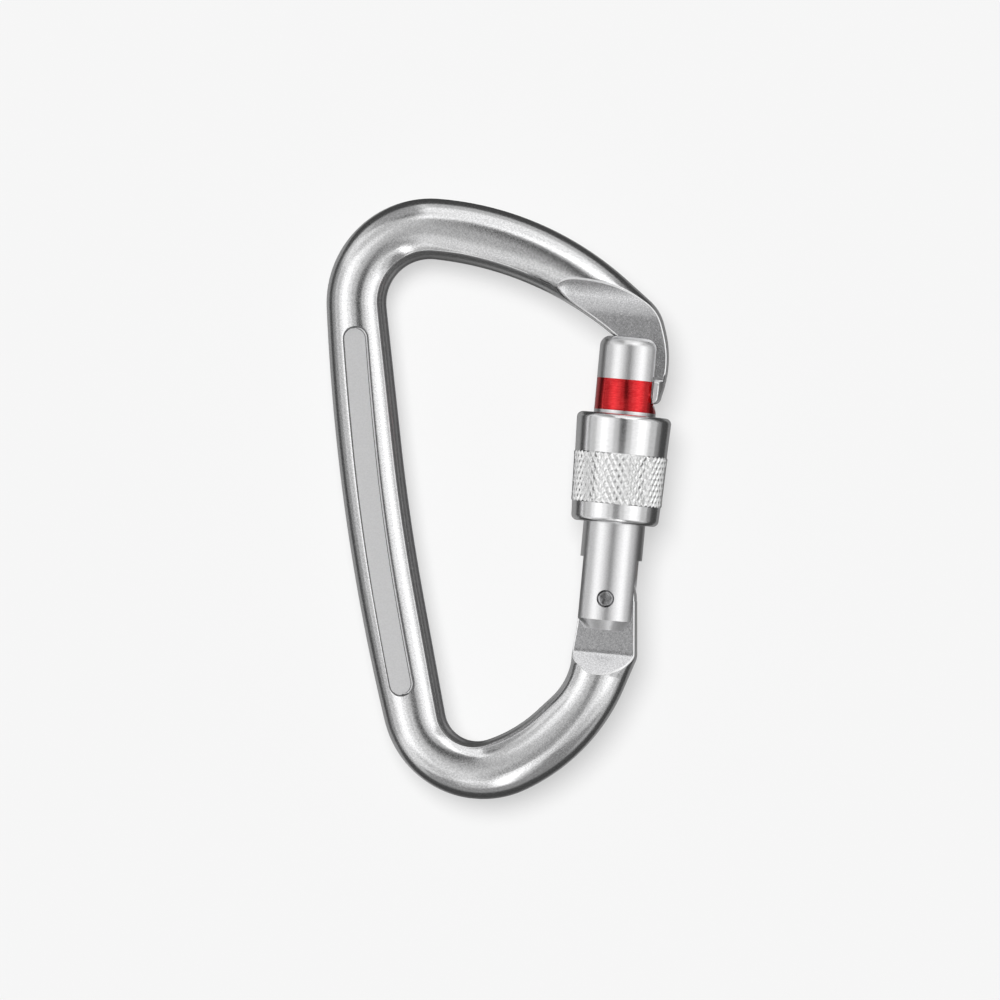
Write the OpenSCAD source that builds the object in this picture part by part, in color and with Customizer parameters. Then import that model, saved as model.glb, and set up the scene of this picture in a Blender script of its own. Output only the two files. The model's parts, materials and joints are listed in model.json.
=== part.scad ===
// Locking carabiner: a forged frame, a sprung gate and a screw sleeve that locks the gate to the nose.
// The frame lies in the XY plane. The gate's axis runs along Y, from the hinge up to the nose.
// All sizes are in millimetres. Heights and offsets are counted from the hinge axis.

/* [Frame outline] */
// Height of the crown's outer edge
crown_rise = 65.6; // [64:0.1:70]
// Offset of the outer corner where the spine meets the top bar
crown_offset = 55.6; // [54:0.1:58]
// Outer radius of the crown bend
crown_r = 18; // [15:0.5:19]
// Inner radius of the crown bend
crown_inner_r = 7.6; // [6:0.2:9]
// Offset of the outer corner that the arched top bar is bent round
arch_offset = 16.2; // [14:0.1:18]
// Outer radius of the arched top bar
arch_r = 55; // [45:1:56]
// Offset of the spine's outer corner at mid height
spine_offset = 47.8; // [46:0.1:49]
// Height of the spine's outer corner
spine_mid_rise = 9.5; // [5:0.5:14]
// Outer radius of the bowed spine
spine_bow_r = 370; // [250:5:380]
// Offset of the outer corner at the foot
foot_offset = 29.2; // [28:0.1:31]
// Depth of the outer corner at the foot
foot_drop = 44.9; // [43:0.1:48]
// Outer radius of the foot bend
foot_r = 17.4; // [14:0.2:18]
// Inner radius of the foot bend
foot_inner_r = 5.6; // [4:0.2:8]
// Offset of the outer corner of the foot bar
foot_bar_offset = 0.4; // [-1:0.1:2]
// Depth of the outer corner of the foot bar
foot_bar_drop = 27.1; // [25:0.1:29]
// Outer radius of the foot bar
foot_bar_r = 33; // [25:1:34]

/* [Frame bar] */
// Thickness of the bar, front to back
bar_t = 10.3; // [9:0.1:11]
// Width of the bar along the spine
spine_w = 11; // [10:0.1:12]
// Width of the top bar
top_bar_w = 10.3; // [9:0.1:11.5]
// Width of the bar at the foot
foot_w = 10.1; // [9:0.1:11.5]
// Squareness of the bar's rounded section, where 2 is an ellipse
bar_power = 2.3; // [2:0.1:3]
// Length of the shallow recess along the spine
recess_len = 63.9; // [40:0.5:66]
// Width of the recess
recess_w = 4.4; // [3:0.1:5]
// Depth of the recess below the bar's crest
recess_depth = 0.75; // [0.4:0.05:1.2]
// Height of the recess's middle above the frame's middle
recess_shift = 0.8; // [-1:0.1:2]

/* [Hinge] */
// Radius of the tongue's round end
tongue_r = 5; // [4.6:0.1:5.2]
// Thickness of the milled tongue and nose
tongue_t = 5; // [4:0.1:5.4]
// Depth to which the tongue's flats run below the hinge axis
tongue_flat_drop = 9.65; // [8:0.05:11]
// Extra width of the tongue on its outer side at its root
tongue_flare = 1; // [0.4:0.1:1.4]
// Radius of the outer corner at the tongue's root
tongue_root_r = 2.3; // [1.5:0.1:3]
// Radius of the inner bend below the tongue
tongue_inner_r = 11; // [8:0.5:13]
// Radius of the cutter's run-out below the tongue's flats
tongue_runout_r = 3.5; // [2.8:0.1:5]
// Diameter of the hinge rivet
rivet_d = 3; // [2.4:0.1:3.6]
// Radial running clearance of the rivet in the tongue
rivet_clearance = 0.05; // [0.02:0.01:0.1]
// Height of the cam on the tongue's end over one radian of opening
cam_rise = 1; // [0.6:0.1:1.2]
// Depth of the cam's low point below the tongue's round end
cam_dip = 0.7; // [0.5:0.1:1]
// Gap between the cam and the plunger's tip
cam_gap = 0.12; // [0.08:0.01:0.2]
// Angle over which the cam goes on past the plunger's place in the closed gate
cam_lead = 24; // [20:1:28]
// Angle over which the cam goes on past the plunger's place in the open gate
cam_tail = 16; // [12:1:20]
// Angle over which the notch climbs out of the tongue before the cam
cam_entry = 20; // [16:1:24]
// Height of that climb
cam_entry_rise = 0.6; // [0.3:0.1:0.8]
// Depth of the rivet's ends below the gate's sides
rivet_sink = 0.1; // [0:0.02:0.2]
// Diameter of the dimple in each end of the rivet
dimple_d = 1; // [0.6:0.1:1.4]
// Diameter of the dimple's floor
dimple_floor_d = 0.2; // [0.1:0.05:0.4]
// Depth of the dimple
dimple_depth = 0.3; // [0.1:0.05:0.5]

/* [Nose] */
// Distance by which the nose stands out past the gate's side
nose_proud = 1.2; // [0.9:0.1:1.5]
// Distance by which the nose's rounded face stands out past its flats
nose_rim = 0.35; // [0.2:0.05:0.5]
// Distance of the nose's knee inside the gate's side
knee_inset = 0.75; // [0.4:0.05:1.2]
// Height of the nose's knee above the gate's top
knee_rise = 5.05; // [4.5:0.05:5.5]
// Outer radius of the nose's knee
knee_r = 8; // [6:0.5:9]
// Slope of the nose's inner side, down across the gate's top
nose_slope = 0.6; // [0.5:0.01:0.66]
// Thickness of the nose's finger across the gate
finger_w = 3.8; // [3.2:0.1:4.2]
// Outer radius of the finger's bow
finger_bow_r = 19; // [15:0.5:22]
// Distance by which the corner of the finger's bow stands out past the nose's face
finger_bow = 1.1; // [0.9:0.05:1.2]
// Depth of the corner of the finger's bow below the gate's top
finger_bow_drop = 3.6; // [3.2:0.1:4]
// Distance by which the finger's end is drawn in from the nose's face
finger_tuck = 0.3; // [0.2:0.05:0.4]
// Depth of the finger's outer end below the hammer head's shoulder
finger_end_drop = 1.6; // [1.2:0.1:2]
// Height of the finger's inner end above the hammer head's foot
finger_end_rise = 1.2; // [0.8:0.1:1.6]
// Radius of the inner bend at the finger's root
finger_root_r = 3; // [2:0.1:4]
// Inner radius of the finger's bow
finger_inner_r = 10; // [8:0.5:12]
// Bow of the finger's inner side
finger_inner_bow = 0.2; // [0.1:0.05:0.3]
// Distance from the gate's top down to the hammer head's shoulder
head_drop = 6.9; // [6:0.1:8]
// Height of the hammer head
head_h = 4.1; // [3.2:0.1:4.6]
// Thickness of the hammer head, front to back
head_t = 6.8; // [6:0.1:7.2]
// Depth of the hammer head behind its outer face
head_depth = 1.7; // [1.4:0.1:1.8]
// Radius of the hammer head's lower outer corner
head_corner_r = 1.2; // [0.8:0.1:1.3]
// Height of the run-out above the gate's top where the nose's flats begin to rise
nose_flat_rise = 3.3; // [1:0.1:4]
// Radius of the cutter's run-out above the nose's flats
nose_runout_r = 7.6; // [5:0.1:10]

/* [Gate] */
// Diameter of the gate
gate_d = 10.6; // [10:0.1:11.2]
// Length of the gate above the hinge axis
gate_reach = 44.9; // [43.5:0.1:46]
// Length of the gate below the hinge axis
gate_tail = 5.3; // [4.8:0.1:6]
// Radius of the round on the gate's top edge
gate_top_r = 1.3; // [0.6:0.1:1.8]
// Height of the turned chamfer on the gate's tail
tail_chamfer_h = 1.5; // [0.8:0.1:2]
// Depth of the turned chamfer on the gate's tail
tail_chamfer_w = 1.3; // [0.8:0.1:1.8]
// Depth of the fork's slot above the hinge axis
fork_rise = 6.9; // [6.4:0.1:8]
// Clearance between the frame's flats and the gate's slots, each side
slot_clearance = 0.15; // [0.1:0.01:0.3]
// Gap between the nose and the gate's nose slot
nose_gap = 0.35; // [0.25:0.05:0.6]
// Gap between the hammer head and the side of its recess in the gate
head_gap = 0.25; // [0.2:0.05:0.4]
// Gap between the hammer head's shoulder and the top of its recess
shoulder_gap = 0.45; // [0.3:0.05:0.6]
// Angle through which the gate opens
gate_open = 40; // [30:1:42]

/* [Gate spring] */
// Diameter of the axial bore that holds the spring
spring_bore_d = 5; // [4.6:0.1:5.4]
// Height of the bore's end
spring_bore_rise = 28; // [24:0.5:29]
// Diameter of the spring's wire
spring_wire_d = 0.7; // [0.5:0.05:0.9]
// Number of the spring's coils
spring_coils = 10; // [6:1:12]
// Radial clearance of the plunger and the spring in the bore
bore_clearance = 0.08; // [0.05:0.01:0.1]
// Length of the plunger's head
plunger_head_len = 5; // [4:0.1:6]
// Length of the plunger's stem inside the spring
plunger_stem_len = 3.5; // [2:0.1:5]
// Radius of the plunger's stem
plunger_stem_r = 1.1; // [0.8:0.1:1.2]
// Radius of the plunger's rounded tip
plunger_tip_r = 1.9; // [1.6:0.1:2.1]
// Gap at each end of the spring
spring_gap = 0.05; // [0.02:0.01:0.1]

/* [Warning band] */
// Height of the warning band
band_h = 5.4; // [4:0.1:5.6]
// Thickness of the warning band
band_t = 0.3; // [0.2:0.05:0.5]
// Width of bare gate between the sleeve and the band
band_gap = 0.6; // [0.4:0.1:1]
// Height of the nose slot's foot above the band's lower edge
band_lip = 0.1; // [0.05:0.05:0.3]

/* [Lock sleeve] */
// Length of the sleeve
sleeve_len = 18.65; // [17.5:0.05:20]
// Diameter of the sleeve at its lower end
sleeve_low_d = 15; // [14.4:0.1:15.8]
// Diameter of the sleeve at its upper end
sleeve_top_d = 16.2; // [15.8:0.1:17]
// Height of the knurled band above the sleeve's lower end
knurl_rise = 3.25; // [2.5:0.05:4]
// Width of the knurled band
knurl_h = 8.7; // [6:0.1:10]
// Distance by which the knurled band stands out
knurl_proud = 0.12; // [0.05:0.01:0.3]
// Radius of the sleeve's rounded edges
sleeve_edge_r = 1; // [0.4:0.1:1.2]
// Gap between the open sleeve and the hammer head
unlock_gap = 2.3; // [1.6:0.1:3]
// Distance by which the locked sleeve laps over the hammer head's shoulder
lock_lap = 0.6; // [0.3:0.1:1.2]
// Gap between the hammer head's foot and the floor of the locked sleeve's mouth
mouth_gap = 0.4; // [0.3:0.05:0.6]
// Radial clearance between the sleeve and the gate
sleeve_clearance = 0.1; // [0.06:0.01:0.1]
// Radial clearance between the sleeve and the nose
nose_clearance = 0.25; // [0.15:0.01:0.3]

/* [Sleeve thread] */
// Pitch of the sleeve's right-hand thread
thread_pitch = 2; // [1.8:0.1:2.4]
// Height of the rounded thread on the gate
thread_h = 0.5; // [0.4:0.05:0.6]
// Radial clearance between the gate's thread and the sleeve's
thread_clearance = 0.15; // [0.12:0.01:0.2]
// Height of the thread's root above the gate's plain side
thread_step = 0.03; // [0.02:0.01:0.04]
// Gap between the gate's thread and the plain bore of the locked sleeve
thread_end_gap = 0.4; // [0.3:0.05:0.6]
// Length of plain gate between the thread and the open sleeve's upper end
thread_top_gap = 1.6; // [1.2:0.1:2]

/* [Drag ring] */
// Diameter of the drag ring's wire
ring_wire_d = 0.8; // [0.6:0.05:0.9]
// Angle over which the drag ring closes round the gate
ring_angle = 320; // [270:5:340]
// Height of the drag ring above the sleeve's lower end
ring_rise = 1.5; // [1.3:0.1:1.8]
// Clearance of the drag ring on the gate and in its groove
ring_clearance = 0.06; // [0.03:0.01:0.1]
// Length of plain bore below the sleeve's thread
guide_len = 3.4; // [3:0.1:4]

/* [Hidden] */
$fn = 96;
// Sides of the bar's section
bar_sides = 24;
// Rings at each corner of the frame's outline, from the hinge round to the nose
corner_rings = [4, 8, 14, 6, 14, 9, 5, 4];
// Steps in the arc of a rounded edge
edge_steps = 6;
// Points round a thread, rings in one turn of it, and rings in one coil of the spring
thread_sides = 32;
turn_rings = 8;
coil_rings = 8;
// Sides of the spring's wire and of the drag ring's wire
spring_sides = 6;
wire_sides = 24;
// Steps along the recess, and degrees in one step along the cam
recess_steps = 12;
cam_step = 4;
// Length by which a cutter runs past what it cuts
over = 1;
// Reach of a cutter that crosses the whole section of the bar
wide = 20;
// Step between two faces that would otherwise lie in one plane
face_step = 0.01;
// Lap of the bar's sides over the tongue's round end
tongue_lap = 0.05;
// Share of a side that the bends at its two ends may take
bend_share = 0.99;

// Gate and nose
gate_r = gate_d / 2;
rivet_r = rivet_d / 2;
tongue_half = tongue_t / 2;
slot_half = tongue_half + slot_clearance;
nose_env_r = gate_r + nose_proud;
nose_flat_x = sqrt(pow(nose_env_r, 2) - pow(tongue_half, 2));
nose_face_x = nose_flat_x + nose_rim;
finger_x = nose_face_x - finger_w;
head_x = nose_face_x - head_depth;
head_y1 = gate_reach - head_drop;
head_y0 = head_y1 - head_h;

// Sleeve, in its open place
sleeve_y1 = head_y0 - unlock_gap;
sleeve_y0 = sleeve_y1 - sleeve_len;
sleeve_travel = head_y1 + lock_lap - sleeve_y1;
sleeve_bore_r = gate_r + sleeve_clearance;
sleeve_mouth_r = nose_env_r + nose_clearance;
sleeve_mouth_y0 = head_y0 - sleeve_travel - mouth_gap;
thread_r = gate_r + thread_step;
thread_y0 = sleeve_y0 + guide_len + sleeve_travel + thread_end_gap;
thread_y1 = sleeve_y1 - thread_top_gap;
ring_y = sleeve_y0 + ring_rise;
ring_r = gate_r + ring_clearance + ring_wire_d / 2;

// Band, spring and plunger
band_y0 = sleeve_y1 + band_gap;
band_r = gate_r - band_t;
spring_bore_r = spring_bore_d / 2;
plunger_r = spring_bore_r - bore_clearance;
plunger_y0 = tongue_r - cam_dip + cam_gap;
plunger_y1 = plunger_y0 + plunger_head_len;
spring_r = spring_bore_r - bore_clearance - spring_wire_d / 2;

// Corners of the frame's outer edge, each with its bend radius, from the hinge round to the nose
tongue_edge = tongue_r + tongue_lap;
outer_corners = [
  [tongue_edge, 0],
  [tongue_r + tongue_flare, -tongue_flat_drop],
  [foot_bar_offset, -foot_bar_drop],
  [-foot_offset, -foot_drop],
  [-spine_offset, spine_mid_rise],
  [-crown_offset, crown_rise],
  [-arch_offset, crown_rise],
  [gate_r - knee_inset, gate_reach + knee_rise],
  [nose_face_x + finger_bow, gate_reach - finger_bow_drop],
  [nose_face_x - finger_tuck, head_y1 - finger_end_drop]
];
outer_radii = [tongue_root_r, foot_bar_r, foot_r, spine_bow_r, crown_r, arch_r, knee_r, finger_bow_r];

// The inner edge runs inside the outer one by the bar's width on each side of the outline
side_w = [foot_w, foot_w, spine_w, spine_w, top_bar_w, top_bar_w];
foot_bar_inner_r = foot_bar_r - foot_w;
arch_inner_r = arch_r - top_bar_w / 2;
finger_top = [finger_x, gate_reach - (finger_x + gate_r) * nose_slope];
inner_corners = [
  [-tongue_edge, 0],
  edge_cross([-tongue_edge, 0], [-tongue_edge, -1], inner_side(1)[0], inner_side(1)[1]),
  for (i = [2 : 6])
    let (a = inner_side(i - 1))
    let (b = inner_side(i))
    edge_cross(a[0], a[1], b[0], b[1]),
  finger_top,
  [finger_x + finger_inner_bow, (finger_top[1] + head_y0) / 2],
  [finger_x, head_y0 + finger_end_rise]
];
inner_radii = [
  tongue_inner_r, foot_bar_inner_r, foot_inner_r, spine_bow_r - spine_w,
  crown_inner_r, arch_inner_r, finger_root_r, finger_inner_r
];

outer_edge = rounded_path(outer_corners, outer_radii);
inner_edge = rounded_path(inner_corners, inner_radii);

// Middle of the outline's bounding box, which the part's origin is moved to
x_low = min([for (p = outer_edge) p[0]]);
x_high = max(sleeve_top_d / 2, max([for (p = outer_edge) p[0]]));
y_low = min([for (p = outer_edge) p[1]]);
y_high = max([for (p = outer_edge) p[1]]);
origin = [(x_low + x_high) / 2, (y_low + y_high) / 2, 0];

echo(hinge = -origin, travel = sleeve_travel, turn = 360 * sleeve_travel / thread_pitch);

// One side of the inner edge: two points of the outer side moved inwards by the bar's width
function inner_side(i) =
  let (a = outer_corners[i])
  let (b = outer_corners[i + 1])
  let (d = (b - a) / norm(b - a))
  let (shift = side_w[i - 1] * [d[1], -d[0]])
  [a + shift, b + shift];

// Point where the line through a and b crosses the line through c and d
function edge_cross(a, b, c, d) =
  let (u = b - a)
  let (v = d - c)
  let (w = c - a)
  a + u * (w[0] * v[1] - w[1] * v[0]) / (u[0] * v[1] - u[1] * v[0]);

// Points of an arc about c, from angle a0 to a1
function arc(c, r, a0, a1) =
  [
    for (k = [0 : edge_steps])
      let (a = a0 + (a1 - a0) * k / edge_steps)
      c + r * [cos(a), sin(a)]
  ];

// Half of the turn at corner i of a path
function half_turn(path, i) =
  let (u = path[i] - path[i - 1])
  let (v = path[i + 1] - path[i])
  acos(min(1, u * v / norm(u) / norm(v))) / 2;

// Share of its tangent length that a bend keeps so that it fits on the side before corner i
function side_share(path, tangents, i) =
  min(1, bend_share * norm(path[i] - path[i - 1]) / (tangents[i - 1] + tangents[i]));

// Point at share s of the circular bend that leaves p, turns at c and ends at q
function bend_point(p, c, q, weight, s) =
  let (k = 2 * weight * s * (1 - s))
  (pow(1 - s, 2) * p + k * c + pow(s, 2) * q) / (pow(1 - s, 2) + k + pow(s, 2));

// Points along a path whose corners are rounded to the given radii
function rounded_path(path, radii) =
  let (last = len(path) - 1)
  let (wish = [0, for (i = [1 : last - 1]) radii[i - 1] * tan(half_turn(path, i)), 0])
  let (kept = [
    0,
    for (i = [1 : last - 1]) wish[i] * min(side_share(path, wish, i), side_share(path, wish, i + 1)),
    0
  ])
  [
    path[0],
    for (i = [1 : last - 1])
      let (back = (path[i - 1] - path[i]) / norm(path[i - 1] - path[i]))
      let (ahead = (path[i + 1] - path[i]) / norm(path[i + 1] - path[i]))
      for (k = [0 : corner_rings[i - 1]])
        bend_point(
          path[i] + kept[i] * back, path[i], path[i] + kept[i] * ahead,
          cos(half_turn(path, i)), k / corner_rings[i - 1]
        ),
    path[last]
  ];

// Rounded coordinate of the bar's section at angle a, from -1 to 1
function section_pos(c) = sign(c) * pow(abs(c), 2 / bar_power);

// Points of one ring of the bar, between its outer and inner edge
function bar_ring(outer, inner) =
  let (mid = (outer + inner) / 2)
  let (half = (outer - inner) / 2)
  [
    for (k = [0 : bar_sides - 1])
      let (a = 360 * k / bar_sides)
      let (p = mid + half * section_pos(cos(a)))
      [p[0], p[1], bar_t / 2 * section_pos(sin(a))]
  ];

// Closed skin over rings of equal length
module skin(rings) {
  n = len(rings[0]);
  m = len(rings);
  points = [for (ring = rings) each ring];
  last = (m - 1) * n;
  caps = [for (k = [1 : n - 2]) each [[0, k, k + 1], [last, last + k + 1, last + k]]];
  sides = [
    for (i = [0 : m - 2])
      for (k = [0 : n - 1])
        let (a = i * n + k)
        let (b = i * n + (k + 1) % n)
        each [[a, a + n, b], [b, a + n, b + n]]
  ];
  polyhedron(points = points, faces = concat(caps, sides), convexity = 10);
}

// Puts a part that is modelled from the hinge axis at the part's own origin
module placed() {
  translate(-origin) children();
}

// Turns a shape that is modelled along Z to lie along the gate
module along_gate(height = 0) {
  translate([0, height, 0]) rotate([-90, 0, 0]) children();
}

// Flat plate in the plane of the frame, of thickness t, with its middle on the mid-plane
module plate(t) {
  linear_extrude(height = t, center = true) children();
}

// Does something to the front and to the back of the frame
module both_faces() {
  children();
  mirror([0, 0, 1]) children();
}

// Room above a milled flat that starts at height y, goes on for len and ends in a round run-out
module flat_cut(y, len, direction, run_r, reach) {
  translate([-reach, y, tongue_half + run_r])
    rotate([0, 90, 0])
      cylinder(r = run_r, h = 2 * reach);
  translate([-reach, direction > 0 ? y - len : y, tongue_half])
    cube([2 * reach, len, wide]);
}

// Path of the recess: the middle of the spine between its two bends
function spine_point(height) =
  let (a = [for (i = [0 : len(outer_edge) - 1]) (outer_edge[i] + inner_edge[i]) / 2])
  let (on_spine = [for (i = [1 : len(a) - 1]) if (a[i][0] < -wide) i])
  let (i = [for (k = on_spine) if (a[k - 1][1] <= height && a[k][1] > height) k][0])
  a[i - 1] + (a[i] - a[i - 1]) * (height - a[i - 1][1]) / (a[i][1] - a[i - 1][1]);

// Outline of the shallow recess along the spine
module recess_outline() {
  n = recess_steps;
  mid_y = (crown_rise - foot_drop) / 2 + recess_shift;
  lean = atan2(crown_offset - foot_offset, crown_rise + foot_drop);
  rise = (recess_len - recess_w) * cos(lean);
  path = [for (i = [0 : n]) spine_point(mid_y + rise * (i / n - 1 / 2))];
  side = [
    for (i = [0 : n])
      let (d = path[min(i + 1, n)] - path[max(i - 1, 0)])
      recess_w / 2 * [-d[1], d[0]] / norm(d)
  ];
  polygon(concat(
    [for (i = [0 : n]) path[i] + side[i]],
    [for (i = [n : -1 : 0]) path[i] - side[i]]
  ));
  for (end = [path[0], path[n]])
    translate(end) circle(d = recess_w);
}

// Outline of the hammer head from offset x out to the nose's face, with a rounded outer corner
module head_outline(x) {
  polygon([
    [x, head_y1],
    [x, head_y0],
    each arc([nose_face_x - head_corner_r, head_y0 + head_corner_r], head_corner_r, -90, 0),
    [nose_face_x, head_y1]
  ]);
}

// Hammer head on the nose's finger, turned down to the radius that passes inside the sleeve
module hammer_head() {
  intersection() {
    union() {
      plate(tongue_t - 2 * face_step) head_outline(finger_x);
      plate(head_t) head_outline(head_x);
    }
    along_gate(head_y0 - over) cylinder(r = nose_env_r, h = head_h + 2 * over);
  }
}

// Room for the plunger at the end of the tongue: its floor rises steadily as the gate opens
module cam_notch() {
  low = tongue_r - cam_dip;
  clear_r = tongue_r + 2 * over;
  start = -cam_lead - cam_entry;
  end = gate_open + cam_tail;
  plate(tongue_t + 2 * over)
    polygon([
      [0, clear_r],
      clear_r * [-sin(start), cos(start)],
      for (a = [start : cam_step : end])
        let (cam = cam_rise * max(a, -cam_lead) * PI / 180)
        let (climb = cam_entry_rise * max(0, -cam_lead - a) / cam_entry)
        (low + cam + climb) * [-sin(a), cos(a)],
      clear_r * [-sin(end), cos(end)]
    ]);
}

// Forged bar with a milled tongue, a milled nose and a recess on each face
module frame() {
  color("silver") placed()
    difference() {
      union() {
        difference() {
          skin([for (i = [0 : len(outer_edge) - 1]) bar_ring(outer_edge[i], inner_edge[i])]);
          both_faces()
            flat_cut(-tongue_flat_drop, tongue_flat_drop + over, -1, tongue_runout_r, 2 * tongue_r);
          both_faces()
            flat_cut(gate_reach + nose_flat_rise, 2 * wide, 1, nose_runout_r, wide);
          both_faces()
            translate([0, 0, bar_t / 2 - recess_depth])
              linear_extrude(height = recess_depth + over) recess_outline();
        }
        cylinder(r = tongue_r, h = tongue_t - 2 * face_step, center = true);
        hammer_head();
      }
      cylinder(r = rivet_r + rivet_clearance, h = bar_t, center = true);
      cam_notch();
    }
}

// Slot for the nose, open to the gate's top and to its outer side
module nose_slot() {
  floor_x = finger_x - nose_gap;
  bend_y = finger_top[1] - nose_gap;
  top_y = gate_reach + 2 * over;
  plate(2 * slot_half)
    polygon([
      [floor_x - (top_y - bend_y) / nose_slope, top_y],
      [floor_x, bend_y],
      [floor_x, head_y0 - nose_gap],
      [gate_r, band_y0 + band_lip],
      [2 * gate_r, band_y0 + band_lip],
      [2 * gate_r, top_y]
    ]);
}

// Recess across the gate's outer side for the hammer head
module head_recess() {
  wall_x = head_x - head_gap;
  top_y = head_y1 + shoulder_gap;
  plate(2 * gate_d)
    polygon([
      [wall_x, top_y],
      [wall_x, head_y0],
      [gate_r, band_y0 + band_lip],
      [2 * gate_r, band_y0 + band_lip],
      [2 * gate_r, top_y]
    ]);
}

// Rod along the gate with a rounded right-hand thread, from height y0 to y1, whose root has radius r
module threaded_rod(r, y0, y1) {
  count = ceil((y1 - y0) / thread_pitch * turn_rings);
  along_gate()
    skin([
      for (i = [0 : count])
        let (y = y0 + (y1 - y0) * i / count)
        [
          for (k = [0 : thread_sides - 1])
            let (a = 360 * k / thread_sides)
            let (crest = thread_h / 2 * (1 + cos(360 * y / thread_pitch - a)))
            [(r + crest) * cos(a), (r + crest) * sin(a), y]
        ]
    ]);
}

// Outer form of the gate: a bar with a rounded top and a chamfered tail
module gate_bar() {
  along_gate()
    rotate_extrude()
      polygon([
        [0, -gate_tail],
        [gate_r - tail_chamfer_w, -gate_tail],
        [gate_r, tail_chamfer_h - gate_tail],
        each arc([gate_r - gate_top_r, gate_reach - gate_top_r], gate_top_r, 0, 90),
        [0, gate_reach]
      ]);
}

// Gate: forked at the hinge, slotted at the nose, with a screw thread under the sleeve
module gate() {
  color("silver") placed()
    difference() {
      union() {
        gate_bar();
        threaded_rod(thread_r, thread_y0, thread_y1);
      }
      translate([-gate_d, -gate_tail - over, -slot_half])
        cube([2 * gate_d, gate_tail + over + fork_rise, 2 * slot_half]);
      along_gate(fork_rise - over) cylinder(r = spring_bore_r, h = spring_bore_rise - fork_rise + over);
      cylinder(r = rivet_r, h = 2 * gate_d, center = true);
      nose_slot();
      head_recess();
      along_gate(band_y0)
        difference() {
          cylinder(r = gate_r + over, h = band_h);
          translate([0, 0, -over]) cylinder(r = band_r, h = band_h + 2 * over);
        }
    }
}

// Red ring let in flush round the gate, which shows while the sleeve is open
module warning_band() {
  color("firebrick") placed()
    difference() {
      along_gate(band_y0)
        difference() {
          cylinder(r = gate_r, h = band_h);
          translate([0, 0, -over]) cylinder(r = band_r, h = band_h + 2 * over);
        }
      nose_slot();
      head_recess();
    }
}

// Rivet through the fork and the tongue, peened flush, with a dimple at each end
module hinge_rivet() {
  length = gate_d - 2 * rivet_sink;
  color("gray") placed()
    difference() {
      cylinder(r = rivet_r, h = length, center = true);
      both_faces()
        translate([0, 0, length / 2 - dimple_depth])
          cylinder(d1 = dimple_floor_d, d2 = dimple_d, h = dimple_depth + face_step);
    }
}

// Radius of the sleeve's conical outside at a height above its lower end
function sleeve_r(h) = (sleeve_low_d + (sleeve_top_d - sleeve_low_d) * h / sleeve_len) / 2;

// Half profile of the sleeve, with its knurled band, its threaded bore and its wide mouth
module sleeve_profile() {
  knurl_top = knurl_rise + knurl_h;
  mouth = sleeve_mouth_y0 - sleeve_y0;
  ring_room = ring_wire_d / 2 + 2 * ring_clearance;
  low_r = sleeve_low_d / 2 - sleeve_edge_r;
  top_r = sleeve_top_d / 2 - sleeve_edge_r;
  polygon([
    [sleeve_bore_r, 0],
    each arc([low_r, sleeve_edge_r], sleeve_edge_r, -90, 0),
    [sleeve_r(knurl_rise), knurl_rise],
    [sleeve_r(knurl_rise) + knurl_proud, knurl_rise],
    [sleeve_r(knurl_top) + knurl_proud, knurl_top],
    [sleeve_r(knurl_top), knurl_top],
    each arc([top_r, sleeve_len - sleeve_edge_r], sleeve_edge_r, 0, 90),
    [sleeve_mouth_r, sleeve_len],
    [sleeve_mouth_r, mouth],
    [sleeve_bore_r, mouth],
    [sleeve_bore_r, ring_rise + ring_room],
    [ring_r + ring_room, ring_rise + ring_room],
    [ring_r + ring_room, ring_rise - ring_room],
    [sleeve_bore_r, ring_rise - ring_room]
  ]);
}

// Screw sleeve that covers the nose when it is turned up
module lock_sleeve() {
  color("gainsboro") placed()
    difference() {
      along_gate(sleeve_y0) rotate_extrude() sleeve_profile();
      threaded_rod(thread_r + thread_clearance, sleeve_y0 + guide_len, sleeve_mouth_y0 + thread_pitch / 2);
    }
}

// Wire ring in a groove of the sleeve, which drags on the gate and keeps the sleeve where it is put
module drag_ring() {
  color("dimgray") placed()
    along_gate(ring_y)
      rotate_extrude(angle = ring_angle)
        translate([ring_r, 0]) circle(d = ring_wire_d, $fn = wire_sides);
}

// Rod that the spring presses on the cam of the frame's tongue
module spring_plunger() {
  color("goldenrod") placed()
    along_gate(plunger_y0)
      rotate_extrude()
        difference() {
          union() {
            translate([0, plunger_tip_r]) circle(r = plunger_tip_r);
            translate([0, plunger_tip_r]) square([plunger_r, plunger_head_len - plunger_tip_r]);
            square([plunger_stem_r, plunger_head_len + plunger_stem_len]);
          }
          translate([-wide, -wide]) square([wide, 2 * wide]);
        }
}

// Compression spring between the plunger's shoulder and the end of the bore
module gate_spring() {
  y0 = plunger_y1 + spring_wire_d / 2 + spring_gap;
  y1 = spring_bore_rise - spring_wire_d / 2 - spring_gap;
  count = spring_coils * coil_rings;
  color("dimgray") placed()
    along_gate()
      skin([
        for (i = [0 : count])
          let (a = 360 * i / coil_rings)
          [
            for (k = [0 : spring_sides - 1])
              let (b = -360 * k / spring_sides)
              let (r = spring_r + spring_wire_d / 2 * cos(b))
              [r * cos(a), r * sin(a), y0 + (y1 - y0) * i / count + spring_wire_d / 2 * sin(b)]
          ]
      ]);
}

frame();
gate();
lock_sleeve();
hinge_rivet();
warning_band();
gate_spring();
spring_plunger();
drag_ring();
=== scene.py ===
"""A locking carabiner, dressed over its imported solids.

The frame bar, the gate, the screw sleeve, the warning band and the hinge rivet are modelled here with their rounded
edges, milled run-outs and knurl. The spring, its plunger and the drag ring, which are inside, keep their solids.
Pieces are shaped in millimetres about the hinge axis and are then settled into the part's own frame, in metres.
"""

import json
import logging
import math
from dataclasses import dataclass, field
from enum import Enum, IntEnum
from typing import Any, NamedTuple, Sequence

import bpy
import numpy as np
from mathutils import Matrix, Vector


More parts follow.
